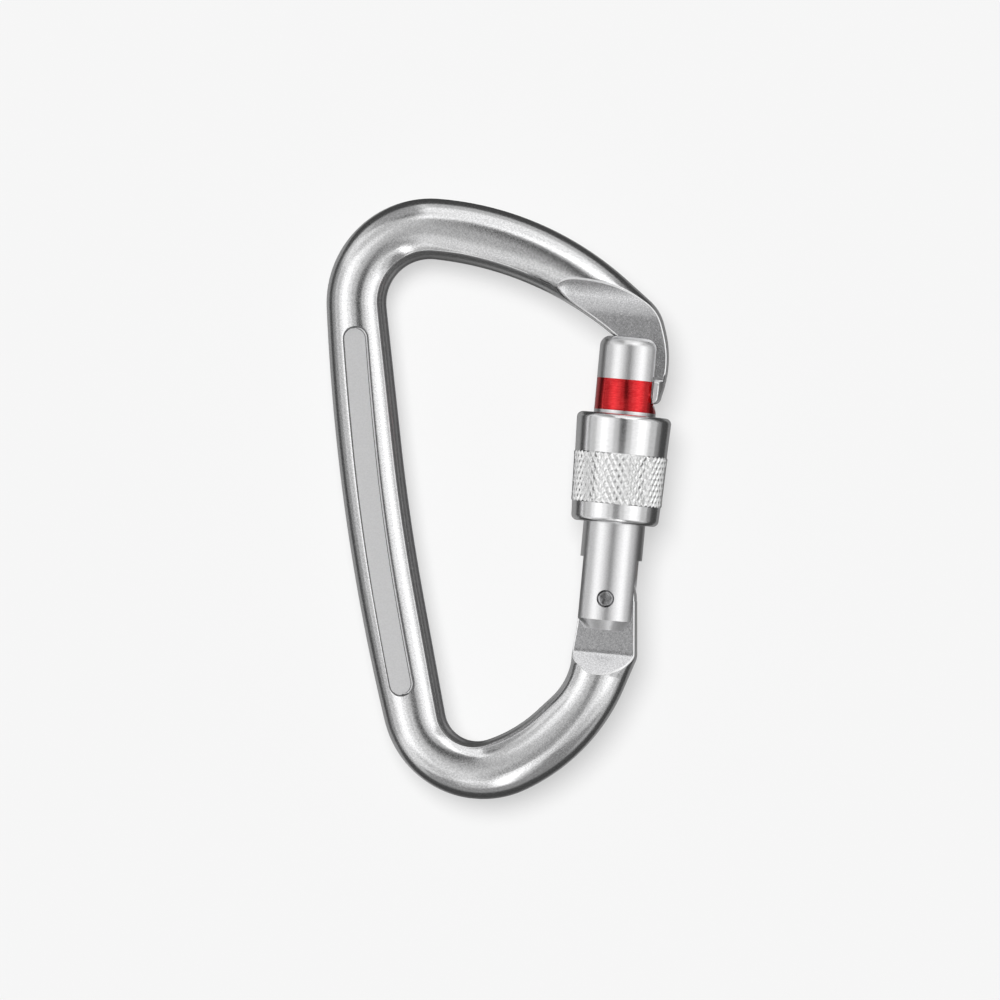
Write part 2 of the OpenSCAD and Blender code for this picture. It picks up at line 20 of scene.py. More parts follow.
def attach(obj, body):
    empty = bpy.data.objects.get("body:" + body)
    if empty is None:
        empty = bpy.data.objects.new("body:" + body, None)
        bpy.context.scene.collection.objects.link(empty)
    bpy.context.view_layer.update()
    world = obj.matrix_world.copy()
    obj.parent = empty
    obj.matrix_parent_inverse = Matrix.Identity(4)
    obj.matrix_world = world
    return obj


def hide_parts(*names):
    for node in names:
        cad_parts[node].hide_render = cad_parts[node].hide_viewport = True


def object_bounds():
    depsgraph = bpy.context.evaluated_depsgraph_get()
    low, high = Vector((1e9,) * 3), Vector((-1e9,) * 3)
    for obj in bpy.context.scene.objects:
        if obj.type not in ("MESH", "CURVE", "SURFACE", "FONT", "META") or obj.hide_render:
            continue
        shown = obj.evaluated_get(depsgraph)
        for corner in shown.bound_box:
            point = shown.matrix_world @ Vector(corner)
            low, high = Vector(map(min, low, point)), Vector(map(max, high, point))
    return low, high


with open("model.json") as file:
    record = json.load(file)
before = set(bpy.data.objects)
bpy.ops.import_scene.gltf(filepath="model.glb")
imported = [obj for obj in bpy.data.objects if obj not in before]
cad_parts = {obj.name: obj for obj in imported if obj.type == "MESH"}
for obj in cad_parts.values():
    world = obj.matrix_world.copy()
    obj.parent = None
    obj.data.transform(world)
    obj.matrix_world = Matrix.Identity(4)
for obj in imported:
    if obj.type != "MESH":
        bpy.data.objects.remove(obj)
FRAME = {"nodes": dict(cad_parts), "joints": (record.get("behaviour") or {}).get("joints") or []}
CAD_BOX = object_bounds()

LOG = logging.getLogger("carabiner")
MM = 0.001
TINY = 1e-6
WELD = 1e-4
HINGE = Vector(next(j["pos_m"] for j in FRAME["joints"] if j["name"] == "gate_hinge"))

# Sizes that several pieces share, in millimetres about the hinge axis.
TONGUE_HALF = 2.5
GATE_R = 5.3
GATE_TOP = 44.9
SLOT_HALF = 2.65
FINGER_X = 2.55
HEAD_FOOT = 33.9
HEAD_SHOULDER = 38.0
BAND_FOOT = 32.2
BAND_TOP = 37.6

# Steps of a quarter turn in a rounded edge, and of the half turn over a section's front.
QUARTER = [math.radians(a) for a in range(0, 91, 9)]
SECTION = np.linspace(0, math.pi, 1441)

# Columns of the frame bar's rings: on the outer side, on each half of a cut's floor, at a cut's walls as shares of the
# wall's width, from a cut to the crease, and from the crease to the inner edge.
OUTER_COLUMNS = 24
FLOOR_COLUMNS = 9
WALL_COLUMNS = np.array([0.12, 0.3, 0.5, 0.7, 0.88, 1.0, 1.3])
CREASE_COLUMNS = 10
INNER_COLUMNS = 18

# Where a finish's dark colour ends and its light one starts, how much coarser its wear is than its marks, how much
# the marks of turning are drawn out round the axis, and how much a peened end's marks curl.
MARK_STOPS = (0.36, 0.64)
WEAR_COARSER = 12.0
TURNED_DRAW = 0.12
SWIRL = 9.0

Corner = tuple[float, float, float]
Colour = tuple[float, float, float]
Point2 = tuple[float, float]


def mix(start: Any, stop: Any, share: Any) -> Any:
    """A value that lies a share of the way from one value to another."""
    return start + (stop - start) * share


def smooth(share: np.ndarray) -> np.ndarray:
    """A share that starts and ends softly."""
    return share * share * (3 - 2 * share)


def summed(steps: np.ndarray) -> np.ndarray:
    """The running sums of steps, from 0."""
    return np.concatenate(([0.0], np.cumsum(steps)))


def lengths(line: np.ndarray) -> np.ndarray:
    """The lengths of the steps between a line's points."""
    return np.linalg.norm(np.diff(line, axis=0), axis=1)


def cosine(u: np.ndarray, v: np.ndarray) -> float:
    """The cosine of the angle between two directions."""
    return min(1.0, float(u @ v) / float(np.linalg.norm(u) * np.linalg.norm(v)))


def resampled(line: np.ndarray, run: np.ndarray, places: np.ndarray) -> np.ndarray:
    """The points of a line at places along it, where run is the place of each point that it has."""
    return np.stack([np.interp(places, run, line[:, k]) for k in (0, 1)], axis=1)


class Change(NamedTuple):
    """A change along a piece, from 0 at one place to 1 at another."""

    start: float
    stop: float

    def at(self, place: Any) -> Any:
        """How far the change has come at a place, or at each of several."""
        return np.clip((place - self.start) / (self.stop - self.start), 0, 1)


class Value:
    """A socket of a node tree that takes part in Python expressions."""

    def __init__(self, graph: "Graph", socket: bpy.types.NodeSocket) -> None:
        """Keeps the socket and the graph that it belongs to."""
        self.graph = graph
        self.socket = socket

    def __add__(self, other: "Value | float") -> "Value":
        """The sum of two values."""
        return self.graph.math("ADD", self, other)

    def __radd__(self, other: float) -> "Value":
        """The sum of a number and a value."""
        return self.graph.math("ADD", other, self)

    def __sub__(self, other: "Value | float") -> "Value":
        """The difference of two values."""
        return self.graph.math("SUBTRACT", self, other)

    def __rsub__(self, other: float) -> "Value":
        """The difference of a number and a value."""
        return self.graph.math("SUBTRACT", other, self)

    def __mul__(self, other: "Value | float") -> "Value":
        """The product of two values."""
        return self.graph.math("MULTIPLY", self, other)

    def __rmul__(self, other: float) -> "Value":
        """The product of a number and a value."""
        return self.graph.math("MULTIPLY", other, self)


class Graph:
    """The node tree of one procedural material."""

    def __init__(self, name: str) -> None:
        """Starts a material with an empty node tree.

        Args:
            name: The material's name.
        """
        self.material = bpy.data.materials.new(name)
        self.material.use_nodes = True
        self.tree = self.material.node_tree
        self.tree.nodes.clear()

    def node(self, kind: str, settings: dict[str, Any], sockets: dict[str | int, Any]) -> bpy.types.Node:
        """Adds one node.

        Args:
            kind: The node's type name.
            settings: Properties that are set before its sockets, where stops are a ramp's places and colours.
            sockets: A value or a link for each input, by its name or number.

        Returns:
            The new node.
        """
        new = self.tree.nodes.new(kind)
        for key, value in settings.items():
            if key == "stops":
                for element, (place, colour) in zip(new.color_ramp.elements, value):
                    element.position, element.color = place, (*colour, 1.0)
            else:
                setattr(new, key, value)
        for key, value in sockets.items():
            self.feed(new.inputs[key], value)
        return new

    def feed(self, socket: bpy.types.NodeSocket, value: Any) -> None:
        """Links a value to a socket, or sets a constant on it.

        Args:
            socket: The input.
            value: The value or the constant.
        """
        if isinstance(value, Value):
            self.tree.links.new(value.socket, socket)
        else:
            socket.default_value = value

    def value(self, node: bpy.types.Node, output: str | int) -> Value:
        """One output of a node, by its name or number, for use in expressions."""
        return Value(self, node.outputs[output])

    def math(self, operation: str, a: "Value | float", b: "Value | float") -> Value:
        """The result of a Math node on two operands."""
        return self.value(self.node("ShaderNodeMath", {"operation": operation}, {0: a, 1: b}), 0)

    def place(self) -> Value:
        """The piece's own coordinates, in metres."""
        return self.value(self.node("ShaderNodeTexCoord", {}, {}), "Object")

    def moved(self, vector: Value, offset: Sequence[float], scale: Sequence[float]) -> Value:
        """Coordinates that a Mapping node stretches along each axis and then moves."""
        sockets = {"Vector": vector, "Location": offset, "Scale": scale}
        return self.value(self.node("ShaderNodeMapping", {"vector_type": "POINT"}, sockets), "Vector")

    def noise(self, vector: Value, scale: float, detail: float) -> Value:
        """A noise pattern from 0 to 1, of so many cells in a metre and octaves of finer noise."""
        sockets = {"Vector": vector, "Scale": scale, "Detail": detail, "Roughness": 0.6}
        return self.value(self.node("ShaderNodeTexNoise", {"noise_dimensions": "3D"}, sockets), "Fac")

    def ramp(self, value: Value, stops: Sequence[tuple[float, Colour]]) -> Value:
        """The colour that a value picks between two stops."""
        return self.value(self.node("ShaderNodeValToRGB", {"stops": stops}, {"Fac": value}), "Color")

    def bump(self, height: Value, distance: float, strength: float) -> Value:
        """A normal that follows a height pattern of that distance in metres, as far as its strength shows."""
        sockets = {"Height": height, "Distance": distance, "Strength": strength}
        return self.value(self.node("ShaderNodeBump", {}, sockets), "Normal")

    def surface(self, sockets: dict[str | int, Any]) -> bpy.types.Material:
        """Ends the material in a Principled shader.

        Args:
            sockets: A value or a link for each of the shader's inputs.

        Returns:
            The material.
        """
        shader = self.node("ShaderNodeBsdfPrincipled", {}, sockets)
        self.node("ShaderNodeOutputMaterial", {}, {"Surface": self.value(shader, "BSDF")})
        return self.material


class Grain(Enum):
    """How a finish's fine marks lie."""

    SPECKLED = "speckled"
    TURNED = "turned"
    SWIRLED = "swirled"


@dataclass(frozen=True)
class Finish:
    """A metal finish with fine marks.

    Attributes:
        name: The material's name.
        dark: Colour of the marks' low places.
        light: Colour of their high places.
        roughness: Roughness between the marks.
        spread: How much the marks change the roughness.
        grain: How the marks lie.
        cells: Marks in a metre.
        height: Height of the marks, in metres.
        strength: How much of that height shows.
        coat: Weight of a clear coat.
    """

    name: str
    dark: Colour
    light: Colour
    roughness: float
    spread: float
    grain: Grain = Grain.SPECKLED
    cells: float = 4000.0
    height: float = 2e-5
    strength: float = 0.25
    coat: float = 0.0

    def marks(self, graph: Graph) -> Value:
        """The pattern of fine marks on a piece's own coordinates.

        Args:
            graph: The material's node tree.

        Returns:
            The pattern, from 0 to 1.
        """
        place = graph.place()
        if self.grain is Grain.SWIRLED:
            centred = graph.moved(place, (-HINGE.x, -HINGE.y, 0), (1, 1, 0))
            settings = {"wave_type": "BANDS", "bands_direction": "DIAGONAL", "wave_profile": "SIN"}
            sockets = {"Vector": centred, "Scale": self.cells, "Distortion": SWIRL, "Detail": 2.0}
            return graph.value(graph.node("ShaderNodeTexWave", settings, sockets), "Fac")
        if self.grain is Grain.TURNED:
            place = graph.moved(place, (0, 0, 0), (TURNED_DRAW, 1.0, TURNED_DRAW))
        return graph.noise(place, self.cells, 2.0)

    def material(self) -> bpy.types.Material:
        """Builds the finish.

        Returns:
            The finish as a node material.
        """
        graph = Graph(self.name)
        marks = self.marks(graph)
        wear = graph.noise(graph.place(), self.cells / WEAR_COARSER, 3.0)
        return graph.surface(
            {
                "Base Color": graph.ramp(marks, list(zip(MARK_STOPS, (self.dark, self.light)))),
                "Metallic": 1.0,
                "Roughness": self.roughness + (marks - 0.5) * self.spread + (wear - 0.5) * (0.5 * self.spread),
                "Coat Weight": self.coat,
                "Coat Roughness": 0.12,
                "Normal": graph.bump(marks, self.height, self.strength),
            }
        )


TUMBLED = Finish("tumbled_aluminium", (0.74, 0.74, 0.745), (0.93, 0.93, 0.935), 0.20, 0.10, cells=3600.0, strength=0.18)
# Painted highlight: a lighter, rougher aluminium laid where highlight lines, the hammer head's face and the recess
# floor should show bright.
PAINTED_HIGHLIGHT = Finish("painted_highlight_edge", (0.90, 0.90, 0.905), (0.96, 0.96, 0.965), 0.36, 0.06, height=1e-5, strength=0.1)
TRIMMED = Finish("trimmed_flash", (0.82, 0.82, 0.825), (0.96, 0.96, 0.965), 0.30, 0.10, cells=2600.0, strength=0.2)
# Painted shade: a near-black metal laid on the recess walls where shade falls.
PAINTED_SHADE = Finish("painted_shade_wall", (0.12, 0.12, 0.122), (0.22, 0.22, 0.222), 0.40, 0.10)
MILLED = Finish("milled_aluminium", (0.63, 0.63, 0.64), (0.86, 0.86, 0.87), 0.25, 0.10, cells=4200.0, strength=0.22)
TURNED = Finish("turned_aluminium", (0.82, 0.82, 0.825), (0.90, 0.90, 0.905), 0.20, 0.06, Grain.TURNED, 9000.0, 6e-6)
KNURLED = Finish("knurled_aluminium", (0.80, 0.80, 0.80), (0.95, 0.95, 0.95), 0.22, 0.10, cells=2600.0, strength=0.1)
RED = Finish(
    "red_anodised", (0.62, 0.012, 0.018), (0.80, 0.046, 0.050), 0.22, 0.05, Grain.TURNED, 9000.0, 4e-6, 0.25, 0.2
)
SATIN = Finish("satin_aluminium", (0.79, 0.79, 0.795), (0.87, 0.87, 0.875), 0.30, 0.06, height=1.5e-5, strength=0.4)
PEENED = Finish("peened_steel", (0.30, 0.30, 0.305), (0.56, 0.56, 0.57), 0.28, 0.12, Grain.SWIRLED, 260.0, 6e-5, 0.8)
WIRE = Finish("spring_wire", (0.30, 0.30, 0.31), (0.42, 0.42, 0.43), 0.30, 0.08)
BRASS = Finish("turned_brass", (0.62, 0.42, 0.14), (0.74, 0.54, 0.22), 0.28, 0.08, Grain.TURNED, 9000.0, 6e-6)


class Axis(Enum):
    """The axis that a turned body lies on, by its direction: the gate's own axis, or the hinge's."""

    GATE = (0, 1, 0)
    HINGE = (0, 0, 1)


class Bench:
    """Modelling by hand: primitives, edit-mode operators and applied modifiers, in millimetres about the hinge."""

    @staticmethod
    def clear() -> None:
        """Deselects everything."""
        bpy.ops.object.select_all(action="DESELECT")

    @staticmethod
    def hold(obj: bpy.types.Object) -> None:
        """Selects one object alone and makes it active.

        Args:
            obj: The object.
        """
        Bench.clear()
        obj.select_set(True)
        bpy.context.view_layer.objects.active = obj

    @staticmethod
    def edit(obj: bpy.types.Object) -> None:
        """Opens an object in edit mode with all of its mesh selected.

        Args:
            obj: The object.
        """
        Bench.hold(obj)
        bpy.ops.object.mode_set(mode="EDIT")
        bpy.ops.mesh.select_all(action="SELECT")

    @staticmethod
    def close() -> None:
        """Leaves edit mode."""
        bpy.ops.object.mode_set(mode="OBJECT")

    @staticmethod
    def weld() -> None:
        """Merges the doubles of the mesh in edit mode, turns its faces outwards and leaves edit mode."""
        bpy.ops.mesh.select_all(action="SELECT")
        bpy.ops.mesh.remove_doubles(threshold=WELD)
        bpy.ops.mesh.normals_make_consistent(inside=False)
        Bench.close()

    @staticmethod
    def read(items: Any, key: str) -> np.ndarray:
        """Reads a vector of each vertex or face of a mesh.

        Args:
            items: The vertices or faces.
            key: The vector's name.

        Returns:
            The vectors, one in each row.
        """
        flat = np.empty(len(items) * 3, np.float32)
        items.foreach_get(key, flat)
        return flat.reshape(-1, 3)

    @staticmethod
    def start(
        name: str,
        points: Sequence[Sequence[float]],
        faces: Sequence[Sequence[int]],
        edges: Sequence[tuple[int, int]] = (),
    ) -> bpy.types.Object:
        """A new object from a few points, as a start for the operators.

        Args:
            name: The object's name.
            points: Its vertices.
            faces: Its faces.
            edges: Its loose edges.

        Returns:
            The object.
        """
        mesh = bpy.data.meshes.new(name)
        mesh.from_pydata(points, edges, faces)
        obj = bpy.data.objects.new(name, mesh)
        bpy.context.scene.collection.objects.link(obj)
        return obj

    @staticmethod
    def lathe(
        name: str, profile: Sequence[Point2], steps: int, axis: Axis = Axis.GATE, closed: bool = True
    ) -> bpy.types.Object:
        """Spins a half profile into a turned body.

        Args:
            name: The object's name.
            profile: Points of radius and height.
            steps: Steps in the full turn.
            axis: The axis that it is turned about.
            closed: Whether a profile that starts off the axis closes on itself.

        Returns:
            The turned body.
        """
        _, y, z = axis.value
        edges = [(i, i + 1) for i in range(len(profile) - 1)]
        if closed and profile[0][0] > 0:
            edges.append((len(profile) - 1, 0))
        obj = Bench.start(name, [(r, h * y, h * z) for r, h in profile], [], edges)
        Bench.edit(obj)
        bpy.ops.mesh.spin(steps=steps, angle=math.tau, center=(0, 0, 0), axis=axis.value)
        Bench.weld()
        return obj

    @staticmethod
    def prism(name: str, outline: Sequence[Point2], half: float) -> bpy.types.Object:
        """Extrudes an outline in the frame's plane to both sides of the mid-plane.

        Args:
            name: The object's name.
            outline: The outline's points.
            half: Half of the prism's thickness.

        Returns:
            The prism.
        """
        obj = Bench.start(name, [(x, y, -half) for x, y in outline], [range(len(outline))])
        Bench.edit(obj)
        bpy.ops.mesh.extrude_region_move(TRANSFORM_OT_translate={"value": (0, 0, 2 * half)})
        Bench.weld()
        return obj

    @staticmethod
    def rod(name: str, radius: float, low: float, high: float, axis: Axis) -> bpy.types.Object:
        """A plain round rod, as a cutter.

        Args:
            name: The object's name.
            radius: Its radius.
            low: Where it starts.
            high: Where it ends.
            axis: The axis that it lies on.

        Returns:
            The rod.
        """
        Bench.clear()
        bpy.ops.mesh.primitive_cylinder_add(
            vertices=96,
            radius=radius,
            depth=high - low,
            location=[(low + high) / 2 * part for part in axis.value],
            rotation=(math.pi / 2 * axis.value[1], 0, 0),
        )
        obj = bpy.context.active_object
        obj.name = name
        bpy.ops.object.transform_apply(location=True, rotation=True, scale=True)
        return obj

    @staticmethod
    def cut(body: bpy.types.Object, cutters: Sequence[bpy.types.Object]) -> None:
        """Cuts bodies out of another and deletes them.

        Args:
            body: What is cut.
            cutters: What it is cut with.
        """
        for cutter in cutters:
            Bench.hold(body)
            modifier = body.modifiers.new("cut", "BOOLEAN")
            modifier.operation = "DIFFERENCE"
            modifier.solver = "EXACT"
            modifier.object = cutter
            bpy.ops.object.modifier_apply(modifier=modifier.name)
            bpy.data.objects.remove(cutter)

    @staticmethod
    def ease(body: bpy.types.Object, width: float, angle: float, segments: int = 3) -> None:
        """Rounds the sharp edges of a body.

        Args:
            body: What is rounded.
            width: The bevel's width.
            angle: The smallest angle, in degrees, of an edge that is rounded.
            segments: Segments of the rounding.
        """
        Bench.hold(body)
        modifier = body.modifiers.new("ease", "BEVEL")
        modifier.width = width
        modifier.segments = segments
        modifier.limit_method = "ANGLE"
        modifier.angle_limit = math.radians(angle)
        modifier.use_clamp_overlap = True
        modifier.harden_normals = False
        bpy.ops.object.modifier_apply(modifier=modifier.name)

    @staticmethod
    def settle(body: bpy.types.Object, angle: float) -> None:
        """Brings a body from millimetres about the hinge to its place in metres, and shades it.

        Args:
            body: The finished body.
            angle: The largest angle, in degrees, between faces that shade as one.
        """
        Bench.edit(body)
        Bench.weld()
        body.scale = (MM, MM, MM)
        body.location = HINGE
        bpy.ops.object.transform_apply(location=True, rotation=True, scale=True)
        bpy.ops.object.shade_smooth_by_angle(angle=math.radians(angle))


@dataclass(frozen=True)
class NoseRoom:
    """Room for the frame's nose in the gate and in the warning band: a slot for its finger and a recess for its head.

    Attributes:
        finger_gap: Gap at the finger's inner side.
        foot_gap: Gap below the head.
        bend: Height at which the slot turns inwards, along the nose.
        slope: Rise of the slot's floor above the bend, for each length inwards.
        over: How far the cutters reach above the gate.
        lip_x: Where the slot's foot starts to fall to the gate's outer side.
        lip: Height of that fall's end above the band's foot.
        wall_x: The recess's inner wall.
        wall_foot: Height of that wall's foot above the head's foot.
        shoulder_gap: Gap above the head's shoulder.
    """

    finger_gap: float = 0.4
    foot_gap: float = 0.35
    bend: float = 40.2
    slope: float = 0.86
    over: float = 2.0
    lip_x: float = 4.75
    lip: float = 0.1
    wall_x: float = 4.4
    wall_foot: float = 1.1
    shoulder_gap: float = 0.45

    def outside(self, top: float) -> list[Point2]:
        """The side of both outlines that lies off the gate, from the lip up to the top."""
        return [(GATE_R, BAND_FOOT + self.lip), (2 * GATE_R, BAND_FOOT + self.lip), (2 * GATE_R, top)]

    def slot(self) -> list[Point2]:
        """Outline of the slot, open at the gate's top and outer side.

        Returns:
            The outline's points.
        """
        floor, foot, top = FINGER_X - self.finger_gap, HEAD_FOOT - self.foot_gap, GATE_TOP + self.over
        inmost = floor - (top - self.bend) / self.slope
        return [(inmost, top), (floor, self.bend), (floor, foot), (self.lip_x, foot), *self.outside(top)]

    def recess(self) -> list[Point2]:
        """Outline of the recess across the gate's outer side."""
        top = HEAD_SHOULDER + self.shoulder_gap
        return [(self.wall_x, top), (self.wall_x, HEAD_FOOT + self.wall_foot), *self.outside(top)]

    def cutters(self) -> list[bpy.types.Object]:
        """Makes the two cutters.

        Returns:
            The slot's cutter and the recess's.
        """
        return [
            Bench.prism("nose_slot", self.slot(), SLOT_HALF),
            Bench.prism("head_recess", self.recess(), 2 * GATE_R),
        ]


@dataclass(frozen=True)
class Piece:
    """A finished piece: its name, the body that it rides on, the solid that it stands for and a slot name, not used."""

    name: str
    body: str
    node: str
    slot: str

    def seat(self, obj: bpy.types.Object, finishes: Sequence[Finish]) -> None:
        """Dresses a mesh and ties it to the part.

        Args:
            obj: The finished mesh.
            finishes: Its finishes, in the order of its material slots.
        """
        obj.name = self.name
        slots = obj.data.materials
        while len(slots) < len(finishes):
            slots.append(None)
        for k, finish in enumerate(finishes):
            slots[k] = finish.material()
        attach(obj, self.body)
        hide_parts(self.node)
        LOG.info("%s: %d faces", self.name, len(obj.data.polygons))


class Look(IntEnum):
    """The frame bar's finishes, by the number of their material slot."""

    TUMBLED = 0
    MILLED = 1
    # Painted highlight.
    PAINTED_HIGHLIGHT = 2
    TRIMMED = 3
    # Painted shade.
    PAINTED_SHADE = 4


class Form(NamedTuple):
    """Form of the bar's section: how full its outer and its inner half are, and its land's share and width."""

    outer: float
    inner: float
    land: float
    width: float


class Ring(NamedTuple):
    """One ring of the bar, with its bare section from the outer edge over the front to the inner edge.

    Attributes:
        mid: Its middle, in the frame's plane.
        half: The way from there to its outer point.
        half_w: Half of the bar's width.
        form: The section's form.
        across: Places across the bar at the angles of SECTION, from 1 at the outer edge to -1 at the inner one.
        high: Heights at the same angles.
        recess: Half width of the recess there, or 0.
        past: How far the ring lies past the straight part of the recess.
        shift: Offset of the recess's middle line from the bar's, towards the outer edge.
    """

    mid: np.ndarray
    half: np.ndarray
    half_w: float
    form: Form
    across: np.ndarray
    high: np.ndarray
    recess: float
    past: float
    shift: float

    @property
    def recessed(self) -> bool:
        """Whether the recess is wide enough there to be cut."""
        return self.recess > 0.05

    def at(self, places: np.ndarray) -> np.ndarray:
        """Points in the frame's plane at places across the bar."""
        return self.mid + self.half * places[:, None]


@dataclass
class FrameBar:
    """The forged frame: a bar between an outer and an inner edge, with milled ends and a recess along its spine.

    Its rings run from the tongue's round end round to the foot of the nose. Each ring has the same columns, and the
    columns at the edges of a milled flat or of the recess are moved to where the cut leaves the bar's surface.
    """

    piece: Piece = Piece("frame_bar", "frame", "frame", "frame_aluminium")

    # The two edges' corners with their radii, the distance of points along them, and how far they are smoothed.
    outer: Sequence[Corner] = (
        (5.08, 0.0, 0.0),
        (5.99, -9.67, 2.3),
        (0.34, -27.14, 33.8),
        (-29.18, -44.92, 17.45),
        (-47.81, 9.52, 371.0),
        (-55.62, 65.66, 18.0),
        (-16.2, 65.56, 55.3),
        (4.54, 49.94, 8.1),
        (7.42, 41.4, 19.0),
        (5.97, 35.1, 0.0),
    )
    inner: Sequence[Corner] = (
        (-4.55, 0.0, 0.0),
        (-4.6, -4.6, 4.0),
        (-5.5, -14.9, 10.9),
        (-13.6, -23.93, 23.4),
        (-24.18, -28.64, 5.63),
        (-35.26, 10.62, 360.0),
        (-44.45, 55.55, 7.58),
        (-13.88, 54.42, 59.8),
        (2.3, 40.65, 3.0),
        (2.72, 37.4, 10.0),
        (2.55, 35.1, 0.0),
    )
    rail_step: float = 0.1
    ease_reaches: Corner = (5.0, 3.0, 2.0)
    turn_reach: float = 2.0

    # The section: half its thickness, and how full it is where it is round and where it is flat.
    half_t: float = 5.15
    power: Point2 = (2.05, 2.25)
    inner_power: Point2 = (2.25, 3.1)
    tongue_power: Point2 = (2.8, 6.0)

    # Where the section changes along the crown, the foot bend and the hinge end, by x or by y.
    crown_y: float = 20.0
    crown_fill: Change = Change(-42.0, -30.0)
    nose_fill: Change = Change(-10.0, -22.0)
    nose_land: Change = Change(-8.0, -14.0)
    bend_x: float = -24.0
    bend_reach: float = 7.0
    bend_fill: Change = Change(-24.0, -32.0)
    bend_share: float = 0.7
    foot_width: Change = Change(-30.0, -18.0)
    hinge_x: float = -12.0
    hinge_land: Change = Change(-14.0, -22.0)
    hinge_square: Change = Change(-12.5, -9.5)

    # The crease on the inner side: its distance from the edge on spine, top bar and foot, the land below it with its
    # ripple, and the ridge along it, which carries a painted highlight line.
    crease_in: Corner = (1.25, 1.5, 0.85)
    crease_foot: float = 0.5
    crease_room: float = 0.6
    crease_fade: float = 0.3
    land_shows: float = 0.3
    ripple: float = 0.15
    ripples: int = 3
    ridge: float = 0.03
    ridge_half: float = 0.11

    # The tongue's round end with its cam, by degrees round the hinge.
    tongue_r: float = 5.0
    tongue_thin: float = 0.45
    thin_turn: Change = Change(50.0, 90.0)
    cam_r: float = 4.3
    cam_hump: float = 0.6
    cam_turn: Point2 = (-24.0, -44.0)
    bore_r: float = 1.55

    # The recess: its ends, half width, offsets at both ends, depth, and its walls' widths and eased edge. The painted
    # light on its walls changes with how far they face inwards: where the painted shade starts, where the painted
    # highlight starts, and from when on a wall has a painted highlight strip and painted shade at its foot.
    recess_ends: tuple[Point2, Point2] = ((-33.5, -20.0), (-47.5, 42.4))
    recess_half: float = 2.16
    recess_shift: Point2 = (0.75, 0.12)
    recess_depth: float = 0.75
    recess_ease: float = 0.1
    walls: Point2 = (0.22, 0.44)
    wall_turn: Change = Change(0.1, 0.5)
    wall_dark: Point2 = (0.1, -0.2)
    wall_bright: Point2 = (0.9, 0.3)
    strip_from: float = 0.15
    foot_from: float = 0.5

    # The milled flats: their walls and eased edges, the least width that has a painted highlight on its inner edge,
    # where they lie, by x and y, and where they run out, with the arc's radius and the slope.
    wall: float = 0.26
    edge: float = 0.22
    rim_width: float = 1.2
    tongue_zone: Point2 = (-9.0, 12.0)
    tongue_side: Point2 = (-9.2, 12.0)
    tongue_run: Corner = (-8.95, 1.35, 36.0)
    nose_zone: Point2 = (-18.0, 30.0)
    nose_run: Corner = (48.2, 7.6, 75.0)
    nose_turn: Point2 = (-10.2, 0.07)

    # The nose: its rounded foot, the hammer head beside the finger, the round room that both keep to, and how the
    # finger falls off outwards.
    foot_r: float = 1.2
    foot_steps: int = 14
    head_half: float = 3.4
    head_x: float = 4.65
    head_edge: float = 0.08
    head_drop: float = 0.5
    head_margin: float = 0.3
    step_room: float = 0.2
    step_gap: float = 0.004
    nose_env_r: float = 6.5
    nose_ease: float = 0.1
    nose_room: float = 0.7
    finger_x: float = 4.2
    finger_fall: float = 0.075
    finger_rise: Change = Change(45.0, 43.0)

    # Distances of the rings: at a cut's end, far from one, their growth between, and the most on a milled flat.
    ring_gaps: Point2 = (0.07, 0.75)
    ring_growth: float = 0.11
    milled_gap: float = 0.40

    # Spread of the middle columns beside a cut, in radians: the least, the most, its growth with the distance, and the
    # distance over which they come to the bar's middle.
    column_spread: Point2 = (0.03, 0.3)
    column_growth: float = 0.10
    calm_reach: float = 5.0

    def rail(self, corners: Sequence[Corner]) -> np.ndarray:
        """Points along one edge of the bar.

        Args:
            corners: The edge's corners with their radii.

        Returns:
            The points.
        """
        points: list[np.ndarray] = []
        for piece in self.pieces_of(corners):
            count = max(2, math.ceil(float(np.linalg.norm(piece[-1] - piece[0])) / self.rail_step))
            points.extend(self.along(piece, np.arange(count) / count))
        points.append(np.array(corners[-1][:2]))
        return np.array(points)

    def rails(self) -> tuple[np.ndarray, np.ndarray]:
        """Points of the outer and the inner edge that lie opposite each other, square to the bar's middle line.

        Returns:
            The outer and the inner points, as many of each.
        """
        outer, inner = self.rail(self.outer), self.rail(self.inner)
        nearest = np.array([inner[np.argmin(np.sum((inner - p) ** 2, axis=1))] for p in outer])
        middle = (outer + nearest) / 2
        middle[0], middle[-1] = (outer[0] + inner[0]) / 2, (outer[-1] + inner[-1]) / 2
        for reach in self.ease_reaches:
            middle = self.eased(middle, reach)
            tangent = np.gradient(middle, axis=0)
            tangent[0] = tangent[-1] = (0.0, -1.0)
            tangent = self.spread(tangent, self.turn_reach / self.rail_step)
            tangent /= np.linalg.norm(tangent, axis=1)[:, None]
            square = np.stack((-tangent[:, 1], tangent[:, 0]), axis=1)
            sides = [self.meet(middle, tangent, square * sign, edge) for sign, edge in ((1, outer), (-1, inner))]
            for side, edge in zip(sides, (outer, inner)):
                side[0], side[-1] = edge[0], edge[-1]
            middle = (sides[0] + sides[1]) / 2
        return sides[0], sides[1]

    @staticmethod
    def spread(values: np.ndarray, reach: float) -> np.ndarray:
        """Smooths values along a line with a bell and keeps both ends.

        Args:
            values: The values, two in each row.
            reach: The bell's reach, in rows.

        Returns:
            The smoothed values.
        """
        span = int(3 * reach) + 1
        bell = np.exp(-0.5 * (np.arange(-span, span + 1) / reach) ** 2)
        bell /= bell.sum()
        before = 2 * values[0] - values[span:0:-1]
        after = 2 * values[-1] - values[-2 : -span - 2 : -1]
        padded = np.concatenate((before, values, after))
        return np.stack([np.convolve(padded[:, k], bell, "valid") for k in (0, 1)], axis=1)

